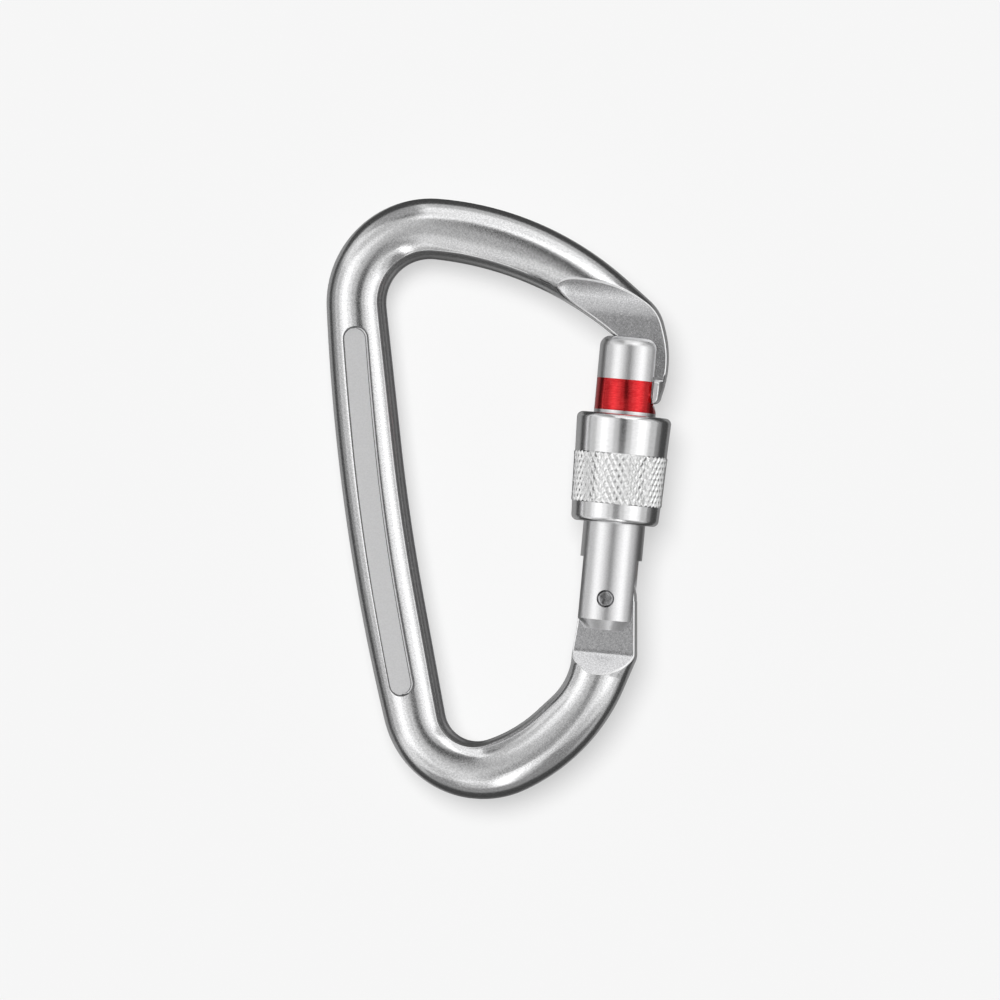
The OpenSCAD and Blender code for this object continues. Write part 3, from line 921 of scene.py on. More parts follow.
    def eased(self, line: np.ndarray, reach: float) -> np.ndarray:
        """A smoothed line with even steps.

        Args:
            line: Points of the line.
            reach: How far the smoothing reaches.

        Returns:
            The new points.
        """
        for _ in range(2):
            run = summed(lengths(line))
            even = np.linspace(0, run[-1], math.ceil(run[-1] / self.rail_step))
            line = self.spread(resampled(line, run, even), reach / self.rail_step)
        return line

    @staticmethod
    def meet(middle: np.ndarray, tangent: np.ndarray, square: np.ndarray, edge: np.ndarray) -> np.ndarray:
        """Where lines square to the middle line meet an edge.

        Args:
            middle: Points of the middle line.
            tangent: Its direction at each point.
            square: The direction towards the edge at each point.
            edge: Points along the edge.

        Returns:
            The meeting points.
        """
        found = []
        for place, ahead, across in zip(middle, tangent, square):
            offset = edge - place
            along, away = offset @ ahead, offset @ across
            cross = np.nonzero((along[:-1] <= 0) & (along[1:] > 0) & (away[:-1] > 0))[0]
            if len(cross) == 0:
                found.append(edge[np.argmin(np.sum(offset**2, axis=1))])
                continue
            k = cross[np.argmin(away[cross])]
            found.append(mix(edge[k], edge[k + 1], along[k] / (along[k] - along[k + 1])))
        return np.array(found)

    @staticmethod
    def pieces_of(corners: Sequence[Corner]) -> list[np.ndarray]:
        """Splits a path with rounded corners into straight pieces and bends.

        Args:
            corners: The path's corners with their radii.

        Returns:
            For each piece its start, its control point and its end, where a straight piece has two points only.
        """
        points = [np.array(c[:2]) for c in corners]
        bends = range(1, len(points) - 1)
        keeps = [0.0] * len(points)
        for i in bends:
            turn = math.acos(cosine(points[i] - points[i - 1], points[i + 1] - points[i]))
            keeps[i] = corners[i][2] * math.tan(turn / 2)
        room = [float(np.linalg.norm(points[i + 1] - points[i])) for i in range(len(points) - 1)]
        shares = [min(1.0, 0.99 * room[i] / max(1e-9, keeps[i] + keeps[i + 1])) for i in range(len(room))]
        for i in bends:
            keeps[i] *= min(shares[i - 1], shares[i])
        pieces, last = [], points[0]
        for i in bends:
            back = (points[i - 1] - points[i]) / room[i - 1]
            ahead = (points[i + 1] - points[i]) / room[i]
            start, end = points[i] + keeps[i] * back, points[i] + keeps[i] * ahead
            pieces += [np.array([last, start]), np.array([start, points[i], end])]
            last = end
        pieces.append(np.array([last, points[-1]]))
        return pieces

    @staticmethod
    def along(piece: np.ndarray, shares: np.ndarray) -> np.ndarray:
        """Points at shares of a straight piece or of a circular bend.

        Args:
            piece: Two points of a straight piece, or three of a bend.
            shares: Shares from 0 to 1.

        Returns:
            The points.
        """
        s = shares[:, None]
        if len(piece) == 2:
            return mix(piece[0], piece[1], s)
        start, corner, end = piece
        weight = math.sqrt(max(0.0, (1 + cosine(corner - start, end - corner)) / 2))
        k = 2 * weight * s * (1 - s)
        return ((1 - s) ** 2 * start + k * corner + s**2 * end) / ((1 - s) ** 2 + k + s**2)

    def tongue_end(self) -> tuple[np.ndarray, np.ndarray]:
        """The tongue's round end, with the cam that the plunger bears on.

        Returns:
            Its outer and its inner points.
        """
        angles = np.radians(np.concatenate(([0.0], np.arange(2, 40, 3), np.arange(40, 90, 1.5))))
        rise, fall = self.cam_turn
        sides = []
        for sign in (-1, 1):
            turn = np.degrees(sign * angles)
            hump = self.cam_hump * np.maximum(0, rise - turn) / (rise - fall)
            cam = self.cam_r + np.radians(np.maximum(turn, rise)) + hump
            limit = self.tongue_r - self.tongue_thin * self.thin_turn.at(turn)
            radius = np.where(turn < fall, self.tongue_r, np.minimum(cam, limit))
            sides.append(np.stack((-radius * np.sin(sign * angles), radius * np.cos(angles)), axis=1))
        return sides[0], sides[1]

    def nose_foot(self) -> tuple[np.ndarray, np.ndarray]:
        """The hammer head's rounded lower end.

        Returns:
            Its outer and its inner points.
        """
        turn = np.radians(np.linspace(8, 90, self.foot_steps))
        edge, start, _ = self.outer[-1]
        y = HEAD_FOOT + (start - HEAD_FOOT) * (1 - np.sin(turn))
        outer = np.stack((edge - self.foot_r + self.foot_r * np.cos(turn), y), axis=1)
        return outer, np.stack((np.full(self.foot_steps, self.inner[-1][0]), y), axis=1)

    def mill(self, x: np.ndarray, y: np.ndarray) -> np.ndarray:
        """Height of the milled flats and of their run-outs above the mid-plane, far up where nothing is milled.

        Args:
            x: Offsets from the hinge axis.
            y: Heights above the hinge axis.

        Returns:
            The height at each point.
        """
        far = 99.0
        tongue = self.run_out(self.tongue_run, self.tongue_run[0] - y)
        tongue = np.where((x > self.tongue_zone[0]) & (y < self.tongue_zone[1]), tongue, far)
        turn = self.nose_turn[1] * np.clip(self.nose_turn[0] - x, 0, None) ** 2
        fall = self.finger_rise.at(y) * np.clip(x - self.finger_x, 0, None)
        nose = self.run_out(self.nose_run, y - self.nose_run[0] + turn) - self.finger_fall * fall
        room = self.nose_env_r + self.nose_ease + np.clip(y - HEAD_SHOULDER - self.nose_room, 0, None)
        nose = np.minimum(nose, self.chord(room, np.clip(x, 0, None)))
        head = np.minimum(self.head_half, self.chord(self.nose_env_r, x))
        drop = Change(HEAD_SHOULDER, HEAD_SHOULDER - self.head_drop).at(y)
        step = smooth(drop) * Change(self.head_x, self.head_x + self.head_edge).at(x)
        in_nose = (x > self.nose_zone[0]) & (y > self.nose_zone[1])
        return np.where(in_nose, mix(nose, head, step), tongue)

    @staticmethod
    def chord(radius: np.ndarray | float, x: np.ndarray) -> np.ndarray:
        """Height of a circle above its middle at offsets from it."""
        return np.sqrt(np.maximum(0.1, radius**2 - x**2))

    @staticmethod
    def run_out(form: Corner, past: np.ndarray) -> np.ndarray:
        """Height of a milled flat that runs out in an arc and then in a slope.

        Args:
            form: Where the flat ends, the arc's radius, and the slope's angle in degrees.
            past: Distances past the flat's end.

        Returns:
            The height at each distance.
        """
        _, radius, angle = form
        last = math.sin(math.radians(angle))
        sine = np.clip(past / radius, 0, last)
        rise = radius * (1 - np.sqrt(1 - sine**2))
        return TONGUE_HALF + rise + np.clip(past - radius * last, 0, None) * math.tan(math.radians(angle))

    def body(self, theta: np.ndarray, half_w: float, form: Form) -> tuple[np.ndarray, np.ndarray]:
        """The bar's bare section, from its outer edge over its front to its inner edge.

        Args:
            theta: Angles from 0 at the outer edge to pi at the inner one.
            half_w: Half of the bar's width.
            form: The section's form there.

        Returns:
            Places across the bar from 1 to -1, and heights.
        """
        c, s = np.cos(theta), np.maximum(0.0, np.sin(theta))
        power = np.where(c > 0, form.outer, form.inner)
        across = np.sign(c) * np.abs(c) ** (2 / power)
        high = self.half_t * s ** (2 / power)
        at = self.crease_at(half_w, form.width)
        top = self.half_t * (1 - abs(at) ** form.inner) ** (1 / form.inner)
        share = np.clip((across + 1) / (at + 1), 0, 1)
        land = mix(self.crease_foot, top, share) - self.ripple * np.sin(self.ripples * math.pi * share)
        return across, np.where(across < at, mix(high, np.minimum(high, land), form.land), high)

    @staticmethod
    def crease_at(half_w: float, land: float) -> float:
        """Place of the inner crease across a bar of that half width, above a land of that width."""
        return -(1 - land / max(half_w, 2 * land))

    def form_at(self, mid: np.ndarray) -> Form:
        """The section's form at a place along the bar.

        Args:
            mid: The place, on the bar's middle line.

        Returns:
            The form.
        """
        x, y = float(mid[0]), float(mid[1])
        spine, top, foot = self.crease_in
        (round_out, flat_out), (round_in, flat_in) = self.power, self.inner_power
        if y > self.crown_y:
            flat = self.crown_fill.at(x)
            inner = mix(flat_out, mix(round_in, flat_in, flat), self.nose_fill.at(x))
            return Form(mix(round_out, flat_out, flat), inner, self.nose_land.at(x), mix(spine, top, flat))
        flat = math.exp(-(((x - self.bend_x) / self.bend_reach) ** 2)) * self.bend_fill.at(y)
        outer, inner = mix(round_out, flat_out, flat), mix(round_in, flat_in, self.bend_share * flat)
        width = mix(spine, foot, self.foot_width.at(x))
        if x <= self.hinge_x:
            return Form(outer, inner, 1.0, width)
        square = self.hinge_square.at(y)
        out, into = self.tongue_power
        return Form(mix(outer, out, square), mix(inner, into, square), self.hinge_land.at(y), width)

    def recess_at(self, place: float, ends: Point2) -> float:
        """Half width of the recess at a place along the bar, or 0 beyond it.

        Args:
            place: The place along the bar.
            ends: Where the recess starts and ends.

        Returns:
            The half width.
        """
        r = self.recess_half
        past = max(ends[0] + r - place, place - (ends[1] - r), 0.0)
        return math.sqrt(max(0.0, r * r - past * past))

    def wall_depth(self, aside: np.ndarray, past: float) -> tuple[np.ndarray, np.ndarray]:
        """How far down the recess's wall places lie, where it is steep towards the outer edge and wide inwards.

        Args:
            aside: Offsets from the recess's middle line, positive towards the outer edge.
            past: Distance past that line's end.

        Returns:
            Depths from 0 at the wall's rim to 1 at its foot and more on the floor, and how far the wall faces
            inwards, from -1 to 1.
        """
        away = np.maximum(TINY, np.hypot(past, aside))
        steep, wide = self.walls
        return (self.recess_half - away) / mix(wide, steep, 0.5 + 0.5 * aside / away), -aside / away

    def wall_looks(self, aside: np.ndarray, past: float) -> np.ndarray:
        """Painted shade on the recess wall all round, with a painted highlight strip on its inner side and floor.

        Args:
            aside: Offsets from the recess's middle line, positive towards the outer edge.
            past: Distance past that line's end.

        Returns:
            The number of the finish at each offset.
        """
        down, facing = self.wall_depth(aside, past)
        inward = self.wall_turn.at(facing)
        bright = mix(*self.wall_bright, inward)
        floor = down >= 1.0
        dark = (down > mix(*self.wall_dark, inward)) & (down < bright)
        strip = (down >= bright) & (inward > self.strip_from)
        foot = floor & (down < WALL_COLUMNS[-1]) & (inward > self.foot_from)
        # Whether a wall face gets painted shade or the painted highlight depends on how far it faces inwards.
        return np.where(dark | foot, Look.PAINTED_SHADE, np.where(strip | floor, Look.PAINTED_HIGHLIGHT, Look.TUMBLED))

    def milled_at(self, outer: np.ndarray, inner: np.ndarray) -> np.ndarray:
        """Whether something is milled from the bar at rings along it.

        Args:
            outer: The rings' outer points.
            inner: Their inner points.

        Returns:
            True or False for each ring.
        """
        share = np.linspace(-0.95, 0.95, 81)[:, None, None]
        grid = (outer + inner) / 2 + (outer - inner) / 2 * share
        power = self.power[1]
        bare = self.half_t * (1 - np.abs(share[:, :, 0]) ** power) ** (1 / power)
        return np.any(self.mill(grid[:, :, 0], grid[:, :, 1]) < bare, axis=0)

    def stations(self) -> tuple[np.ndarray, np.ndarray, np.ndarray, Point2]:
        """Places of the rings: close together where a cut starts or ends, and further apart elsewhere.

        Returns:
            The rings' outer points, their inner points, their places along the bar, and the recess's two ends.
        """
        first, last = self.tongue_end(), self.nose_foot()
        outer, inner = (np.concatenate(parts) for parts in zip(first, self.rails(), last))
        mid = (outer + inner) / 2
        run = summed(np.maximum(TINY, lengths(mid)))
        ends = tuple(float(run[np.argmin(np.linalg.norm(mid - np.array(p), axis=1))]) for p in self.recess_ends)
        milled = self.milled_at(outer, inner)
        off_nose = (outer[:, 0] < 0) | (outer[:, 1] < self.nose_zone[1])
        shoulder = run[np.argmin(np.where(off_nose, np.inf, np.abs(outer[:, 1] - HEAD_SHOULDER)))]
        marks = np.array([*run[1:][milled[1:] != milled[:-1]], *ends, shoulder])
        near = np.min(np.abs(run[:, None] - marks), axis=1)
        gap = np.minimum(self.ring_gaps[1], self.ring_gaps[0] + self.ring_growth * near)
        gap = np.where(milled, np.minimum(gap, self.milled_gap), gap)
        count = summed(np.diff(run) / gap[1:])
        start, stop = len(first[0]), len(outer) - len(last[0])
        steps = np.linspace(count[start], count[stop - 1], math.ceil(count[stop - 1] - count[start]))
        place = np.concatenate((run[:start], np.interp(steps, count, run), run[stop:]))
        return resampled(outer, run, place), resampled(inner, run, place), place, ends

    def build(self) -> bpy.types.Object:
        """Models the frame bar: a grid that is wrapped round the bar's path, closed, and bored for the rivet.

        Returns:
            The frame bar.
        """
        rings, looks = self.rings(*self.stations())
        count, columns = rings.shape[:2]
        Bench.clear()
        bpy.ops.mesh.primitive_grid_add(x_subdivisions=count - 1, y_subdivisions=columns, size=2.0)
        obj = bpy.context.active_object
        mesh = obj.data
        cells = np.array((count - 1, columns))
        i, j = np.rint((Bench.read(mesh.vertices, "co")[:, :2] + 1) / 2 * cells).astype(int).T
        fi, fj = np.floor((Bench.read(mesh.polygons, "center")[:, :2] + 1) / 2 * cells).astype(int).T
        ahead, behind = looks[fi, fj], looks[fi + 1, fj]
        # A face between two rings keeps the painted shade where either ring has it.
        either_painted_shade = np.maximum(ahead, behind) == Look.PAINTED_SHADE
        look = np.where(ahead == behind, ahead, np.where(either_painted_shade, Look.PAINTED_SHADE, Look.TUMBLED))
        mesh.vertices.foreach_set("co", rings[i, j % columns].astype(np.float32).ravel())
        for _ in Look:
            mesh.materials.append(None)
        mesh.polygons.foreach_set("material_index", look.astype(np.int32))
        mesh.update()
        Bench.edit(obj)
        bpy.ops.mesh.remove_doubles(threshold=WELD)
        bpy.ops.mesh.select_mode(type="EDGE")
        bpy.ops.mesh.select_all(action="DESELECT")
        bpy.ops.mesh.select_non_manifold()
        bpy.ops.mesh.edge_face_add()
        bpy.ops.mesh.select_mode(type="VERT")
        Bench.weld()
        Bench.cut(obj, [Bench.rod("rivet_bore", self.bore_r, -6, 6, Axis.HINGE)])
        Bench.settle(obj, angle=50)
        self.piece.seat(obj, [TUMBLED, MILLED, PAINTED_HIGHLIGHT, TRIMMED, PAINTED_SHADE])
        return obj

    def rings(
        self, outer: np.ndarray, inner: np.ndarray, place: np.ndarray, ends: Point2
    ) -> tuple[np.ndarray, np.ndarray]:
        """Points of all rings.

        Args:
            outer: The rings' outer points.
            inner: Their inner points.
            place: Their places along the bar.
            ends: Where the recess starts and ends.

        Returns:
            The points of each ring, and the number of the finish that starts at each.
        """
        rings = [self.ring_at(o, i, p, ends) for o, i, p in zip(outer, inner, place)]
        cuts = [self.cut_of(ring) for ring in rings]
        known = np.nonzero([cut is not None for cut in cuts])[0]
        points, looks = [], []
        for ring, cut, at in zip(rings, cuts, place):
            nearest = known[np.argmin(np.abs(place[known] - at))]
            span = cut or self.span_beside(cuts[nearest], abs(place[nearest] - at))
            front, look = self.front(ring, span, cut is not None)
            back = front[-2:0:-1] * np.array([1, 1, -1])
            points.append(np.concatenate((front, back)))
            looks.append(np.concatenate((look[:-1], look[-2::-1])))
        return np.array(points), np.array(looks)

    def ring_at(self, outer: np.ndarray, inner: np.ndarray, place: float, ends: Point2) -> Ring:
        """One ring with its bare section.

        Args:
            outer: Its outer point.
            inner: Its inner point.
            place: Its place along the bar.
            ends: Where the recess starts and ends.

        Returns:
            The ring.
        """
        mid = (outer + inner) / 2
        half_w = max(TINY, float(np.linalg.norm(outer - inner)) / 2)
        form = self.form_at(mid)
        recess = self.recess_at(place, ends)
        past = math.sqrt(max(0.0, self.recess_half**2 - recess**2))
        shift = mix(*self.recess_shift, (place - ends[0]) / (ends[1] - ends[0]))
        return Ring(mid, (outer - inner) / 2, half_w, form, *self.body(SECTION, half_w, form), recess, past, shift)

    def cut_of(self, ring: Ring) -> Point2 | None:
        """Angles on a ring between which its surface is cut away.

        Args:
            ring: The ring.

        Returns:
            The first and the last angle, or None where nothing is cut.
        """
        if ring.recessed:
            sides = [-(ring.shift + ring.recess) / ring.half_w, -(ring.shift - ring.recess) / ring.half_w]
            return tuple(float(angle) for angle in np.interp(sides, -ring.across, SECTION))
        where = ring.at(ring.across)
        above = ring.high - self.mill(where[:, 0], where[:, 1])
        hits = np.nonzero(above > 1e-4)[0]
        if len(hits) < 2:
            return None
        bounds = []
        for inside, beyond in ((hits[0], hits[0] - 1), (hits[-1], hits[-1] + 1)):
            share = above[inside] / (above[inside] - above[beyond])
            bounds.append(float(mix(SECTION[inside], SECTION[beyond], share)))
        return bounds[0], bounds[1]

    def span_beside(self, cut: Point2, away: float) -> Point2:
        """Angles for the middle columns of a ring that isn't cut, which calm down with the distance from a cut.

        Args:
            cut: Angles of the nearest cut.
            away: Distance from it, along the bar.

        Returns:
            The first and the last angle.
        """
        calm = 1 - math.exp(-((away / self.calm_reach) ** 2))
        middle = (cut[0] + cut[1]) / 2 * (1 - calm) + math.pi / 2 * calm
        least, most = self.column_spread
        spread = min(least + self.column_growth * away, most)
        return middle - spread, middle + spread

    def floor_places(self, ring: Ring, start: float, stop: float, width: float) -> np.ndarray:
        """Places of the columns in a cut, which are close together at its walls and at the step beside the head.

        Args:
            ring: The ring.
            start: Place across the bar where the cut's outer wall starts.
            stop: Place where its inner wall ends.
            width: The cut's width.

        Returns:
            The places across the bar.
        """
        walls = [min(self.wall, width / 4)] * 2
        if ring.recessed:
            floors = [math.sqrt(max(0.0, (self.recess_half - w) ** 2 - ring.past**2)) for w in self.walls]
            walls = [min(ring.recess - floor, 0.4 * width) for floor in floors]
        near, near_in = (wall / ring.half_w * WALL_COLUMNS for wall in walls)
        step, room, gap = (start + stop) / 2, self.step_room, self.step_gap
        if self.nose_zone[1] <= ring.mid[1] < HEAD_SHOULDER + 1 and abs(ring.half[0]) > TINY:
            beside = (self.head_x - ring.mid[0]) / ring.half[0]
            step = beside if stop + room < beside < start - room else step
        left = np.linspace(start - near[-1], step + gap, FLOOR_COLUMNS)[1:]
        right = np.linspace(step - gap, stop + near_in[-1], FLOOR_COLUMNS)[:-1]
        return np.concatenate(([start], start - near, left, right, (stop + near_in)[::-1], [stop]))

    def on_floor(self, ring: Ring, places: np.ndarray, bare: np.ndarray, middle: float) -> np.ndarray:
        """Heights of a cut's floor and walls.

        Args:
            ring: The ring.
            places: Places across the bar.
            bare: Heights of the bare section there.
            middle: The cut's middle across the bar.

        Returns:
            The height at each place.
        """
        if ring.recessed:
            down, _ = self.wall_depth((places - middle) * ring.half_w, ring.past)
            return mix(bare, np.minimum(bare, self.half_t - self.recess_depth), smooth(np.clip(down, 0, 1)))
        where = ring.at(places)
        return np.minimum(bare, self.mill(where[:, 0], where[:, 1]))

    def front(self, ring: Ring, cut: Point2, is_cut: bool) -> tuple[np.ndarray, np.ndarray]:
        """Points of one ring's front half, from its outer edge to its inner edge.

        Args:
            ring: The ring.
            cut: Angles between which it is cut, or between which its middle columns lie.
            is_cut: Whether it is cut there.

        Returns:
            The points, and the number of the finish that starts at each.
        """
        arc = summed(np.hypot(np.diff(ring.across) * ring.half_w, np.diff(ring.high)))
        leave, back = np.interp(cut, SECTION, arc)
        first, last = np.interp(cut, SECTION, ring.across)
        width = (first - last) * ring.half_w
        ease = min(self.recess_ease if ring.recessed else self.edge, width / 5)
        tip = ease / ring.half_w
        bend = float(np.interp(-self.crease_at(ring.half_w, ring.form.width), -ring.across, arc))
        rest = arc[-1] - back
        turn = max(bend, back + min(self.crease_room, rest / 2))
        crease = ring.form.land * (1 - Change(0.0, self.crease_fade).at(turn - bend))
        ridge = min(self.ridge_half, rest / 10)
        land = np.linspace(back + ease, turn - ridge, CREASE_COLUMNS)
        out_runs = [*np.linspace(0, leave - ease, OUTER_COLUMNS), leave]
        in_runs = [back, *land, turn, *np.linspace(turn + ridge, arc[-1], INNER_COLUMNS)]
        outside, inside = (
            np.stack(self.body(np.interp(runs, arc, SECTION), ring.half_w, ring.form), axis=1)
            for runs in (out_runs, in_runs)
        )
        places = self.floor_places(ring, first - tip, last + tip, width)
        bare = np.interp(-places, -ring.across, ring.high)
        high = self.on_floor(ring, places, bare, (first + last) / 2) if is_cut else bare
        middle = np.stack((places, high), axis=1)
        if is_cut:
            outside[-1] = 0.5 * outside[-1] + 0.25 * (outside[-2] + middle[0])
            inside[0] = 0.5 * inside[0] + 0.25 * (inside[1] + middle[-1])
        inside[CREASE_COLUMNS + 1, 1] += self.ridge * crease
        profile = np.concatenate((outside, middle, inside))
        look = np.full(len(profile), int(Look.TUMBLED))
        head, foot = len(outside), len(outside) + len(middle) - 1
        if ring.recessed:
            # The recess's walls and floor take the painted shade and painted highlight that wall_looks picks.
            between = (profile[:-1, 0] + profile[1:, 0] - first - last) / 2 * ring.half_w
            look[head - 2 : foot + 2] = self.wall_looks(between, ring.past)[head - 2 : foot + 2]
        elif is_cut:
            look[head:foot] = Look.MILLED
            # Painted highlight lines along the cut's outer edge, over the hammer head's face and along a wide flat's
            # inner edge.
            look[head - 2 : head] = Look.PAINTED_HIGHLIGHT
            if self.nose_zone[1] < ring.mid[1] < HEAD_SHOULDER - self.head_margin:
                look[head : head + len(WALL_COLUMNS) + FLOOR_COLUMNS] = Look.PAINTED_HIGHLIGHT
            if width > self.rim_width and not self.tongue_side[0] < ring.mid[1] < self.tongue_side[1]:
                look[foot : foot + 2] = Look.PAINTED_HIGHLIGHT
        if ring.form.land > self.land_shows:
            at_crease = foot + CREASE_COLUMNS + 1
            # A painted highlight line on the crease where it shows.
            look[at_crease : at_crease + 2] = Look.PAINTED_HIGHLIGHT if crease > self.land_shows else Look.TUMBLED
            look[at_crease + 2 :] = Look.TRIMMED
        return np.concatenate((ring.at(profile[:, 0]), profile[:, 1:]), axis=1), look


@dataclass
class Gate:
    """The gate: a turned bar, forked at the hinge and slotted for the nose."""

    piece: Piece = Piece("gate_arm", "gate", "gate", "gate_aluminium")
    nose_room: NoseRoom = NoseRoom()
    tail: float = 5.3
    chamfer_h: float = 1.65
    chamfer_w: float = 1.15
    top_r: float = 1.8
    band_r: float = 5.0
    fork_rise: float = 6.9
    bore_r: float = 2.5
    bore_rise: float = 28.0
    rivet_r: float = 1.5
    cutter_reach: float = 9.0
    edge: float = 0.16
    steps: int = 160

    def profile(self) -> list[Point2]:
        """Half profile of the gate's turned form, with the groove for the warning band.

        Returns:
            Points of radius and height.
        """
        c = GATE_R - self.top_r
        return [
            (0.0, -self.tail),
            (GATE_R - self.chamfer_w, -self.tail),
            (GATE_R, self.chamfer_h - self.tail),
            (GATE_R, BAND_FOOT),
            (self.band_r, BAND_FOOT),
            (self.band_r, BAND_TOP),
            (GATE_R, BAND_TOP),
            *[(c + self.top_r * math.cos(a), GATE_TOP - self.top_r * (1 - math.sin(a))) for a in QUARTER],
            (0.0, GATE_TOP),
        ]

    def build(self) -> bpy.types.Object:
        """Models the gate: a spun profile that is slotted, bored and eased at its edges.

        Returns:
            The gate.
        """
        obj = Bench.lathe("gate_arm", self.profile(), self.steps)
        reach, low, high = self.cutter_reach, -self.tail - 1, self.fork_rise
        fork = [(-reach, low), (reach, low), (reach, high), (-reach, high)]
        Bench.cut(
            obj,
            [
                Bench.prism("fork_slot", fork, SLOT_HALF),
                Bench.rod("spring_bore", self.bore_r, self.fork_rise - 1, self.bore_rise, Axis.GATE),
                Bench.rod("rivet_hole", self.rivet_r, -reach, reach, Axis.HINGE),
                *self.nose_room.cutters(),
            ],
        )
        Bench.ease(obj, self.edge, angle=38)
        Bench.settle(obj, angle=28)
        self.piece.seat(obj, [SATIN])
        return obj


@dataclass
class WarningBand:
    """The red ring let in round the gate."""

    piece: Piece = Piece("red_band", "gate", "warning_band", "red_band")
    nose_room: NoseRoom = NoseRoom()
    inner_r: float = 5.0
    outer_r: float = GATE_R - 0.01
    edge: float = 0.05
    steps: int = 160

    def build(self) -> bpy.types.Object:
        """Models the band: a spun ring that the room for the nose cuts open.

        Returns:
            The band.
        """
        low, high = ([(r, h) for r in (self.inner_r, self.outer_r)] for h in (BAND_FOOT, BAND_TOP))
        obj = Bench.lathe("red_band", [*low, *reversed(high)], self.steps)
        Bench.cut(obj, self.nose_room.cutters())
        Bench.ease(obj, self.edge, angle=32, segments=2)
        Bench.settle(obj, angle=40)
        self.piece.seat(obj, [RED])
        return obj


@dataclass
class HingeRivet:
    """The rivet through the fork and the tongue, peened at both ends.

    Attributes:
        piece: The finished piece.
        radius: The rivet's radius.
        end: Height of its ends above the mid-plane.
        peened: Steps of an end from its rim to its centre mark: how far in from the radius, and how far down.
        mark: Depth of the centre mark.
        steps: Steps in the full turn.
    """

    piece: Piece = Piece("hinge_pin", "gate", "hinge_rivet", "rivet_steel")
    radius: float = 1.5
    end: float = 5.2
    peened: Sequence[Point2] = (
        (0.0, 0.55),
        (0.08, 0.60),
        (0.20, 0.50),
        (0.26, 0.08),
        (0.36, 0.01),
        (0.60, 0.0),
        (1.0, 0.02),
        (1.3, 0.05),
        (1.38, 0.18),
    )
    mark: float = 0.2
    steps: int = 72

    def build(self) -> bpy.types.Object:
        """Models the rivet: a spun profile with a sunk rim and a centre mark at each end.

        Returns:
            The rivet.
        """
        half = [(self.radius - inwards, self.end - down) for inwards, down in self.peened]
        half.append((0.0, self.end - self.mark))
        profile = [*[(r, -z) for r, z in reversed(half)], *half]
        obj = Bench.lathe("hinge_pin", profile, self.steps, Axis.HINGE)
        Bench.settle(obj, angle=50)
        self.piece.seat(obj, [PEENED])
        return obj


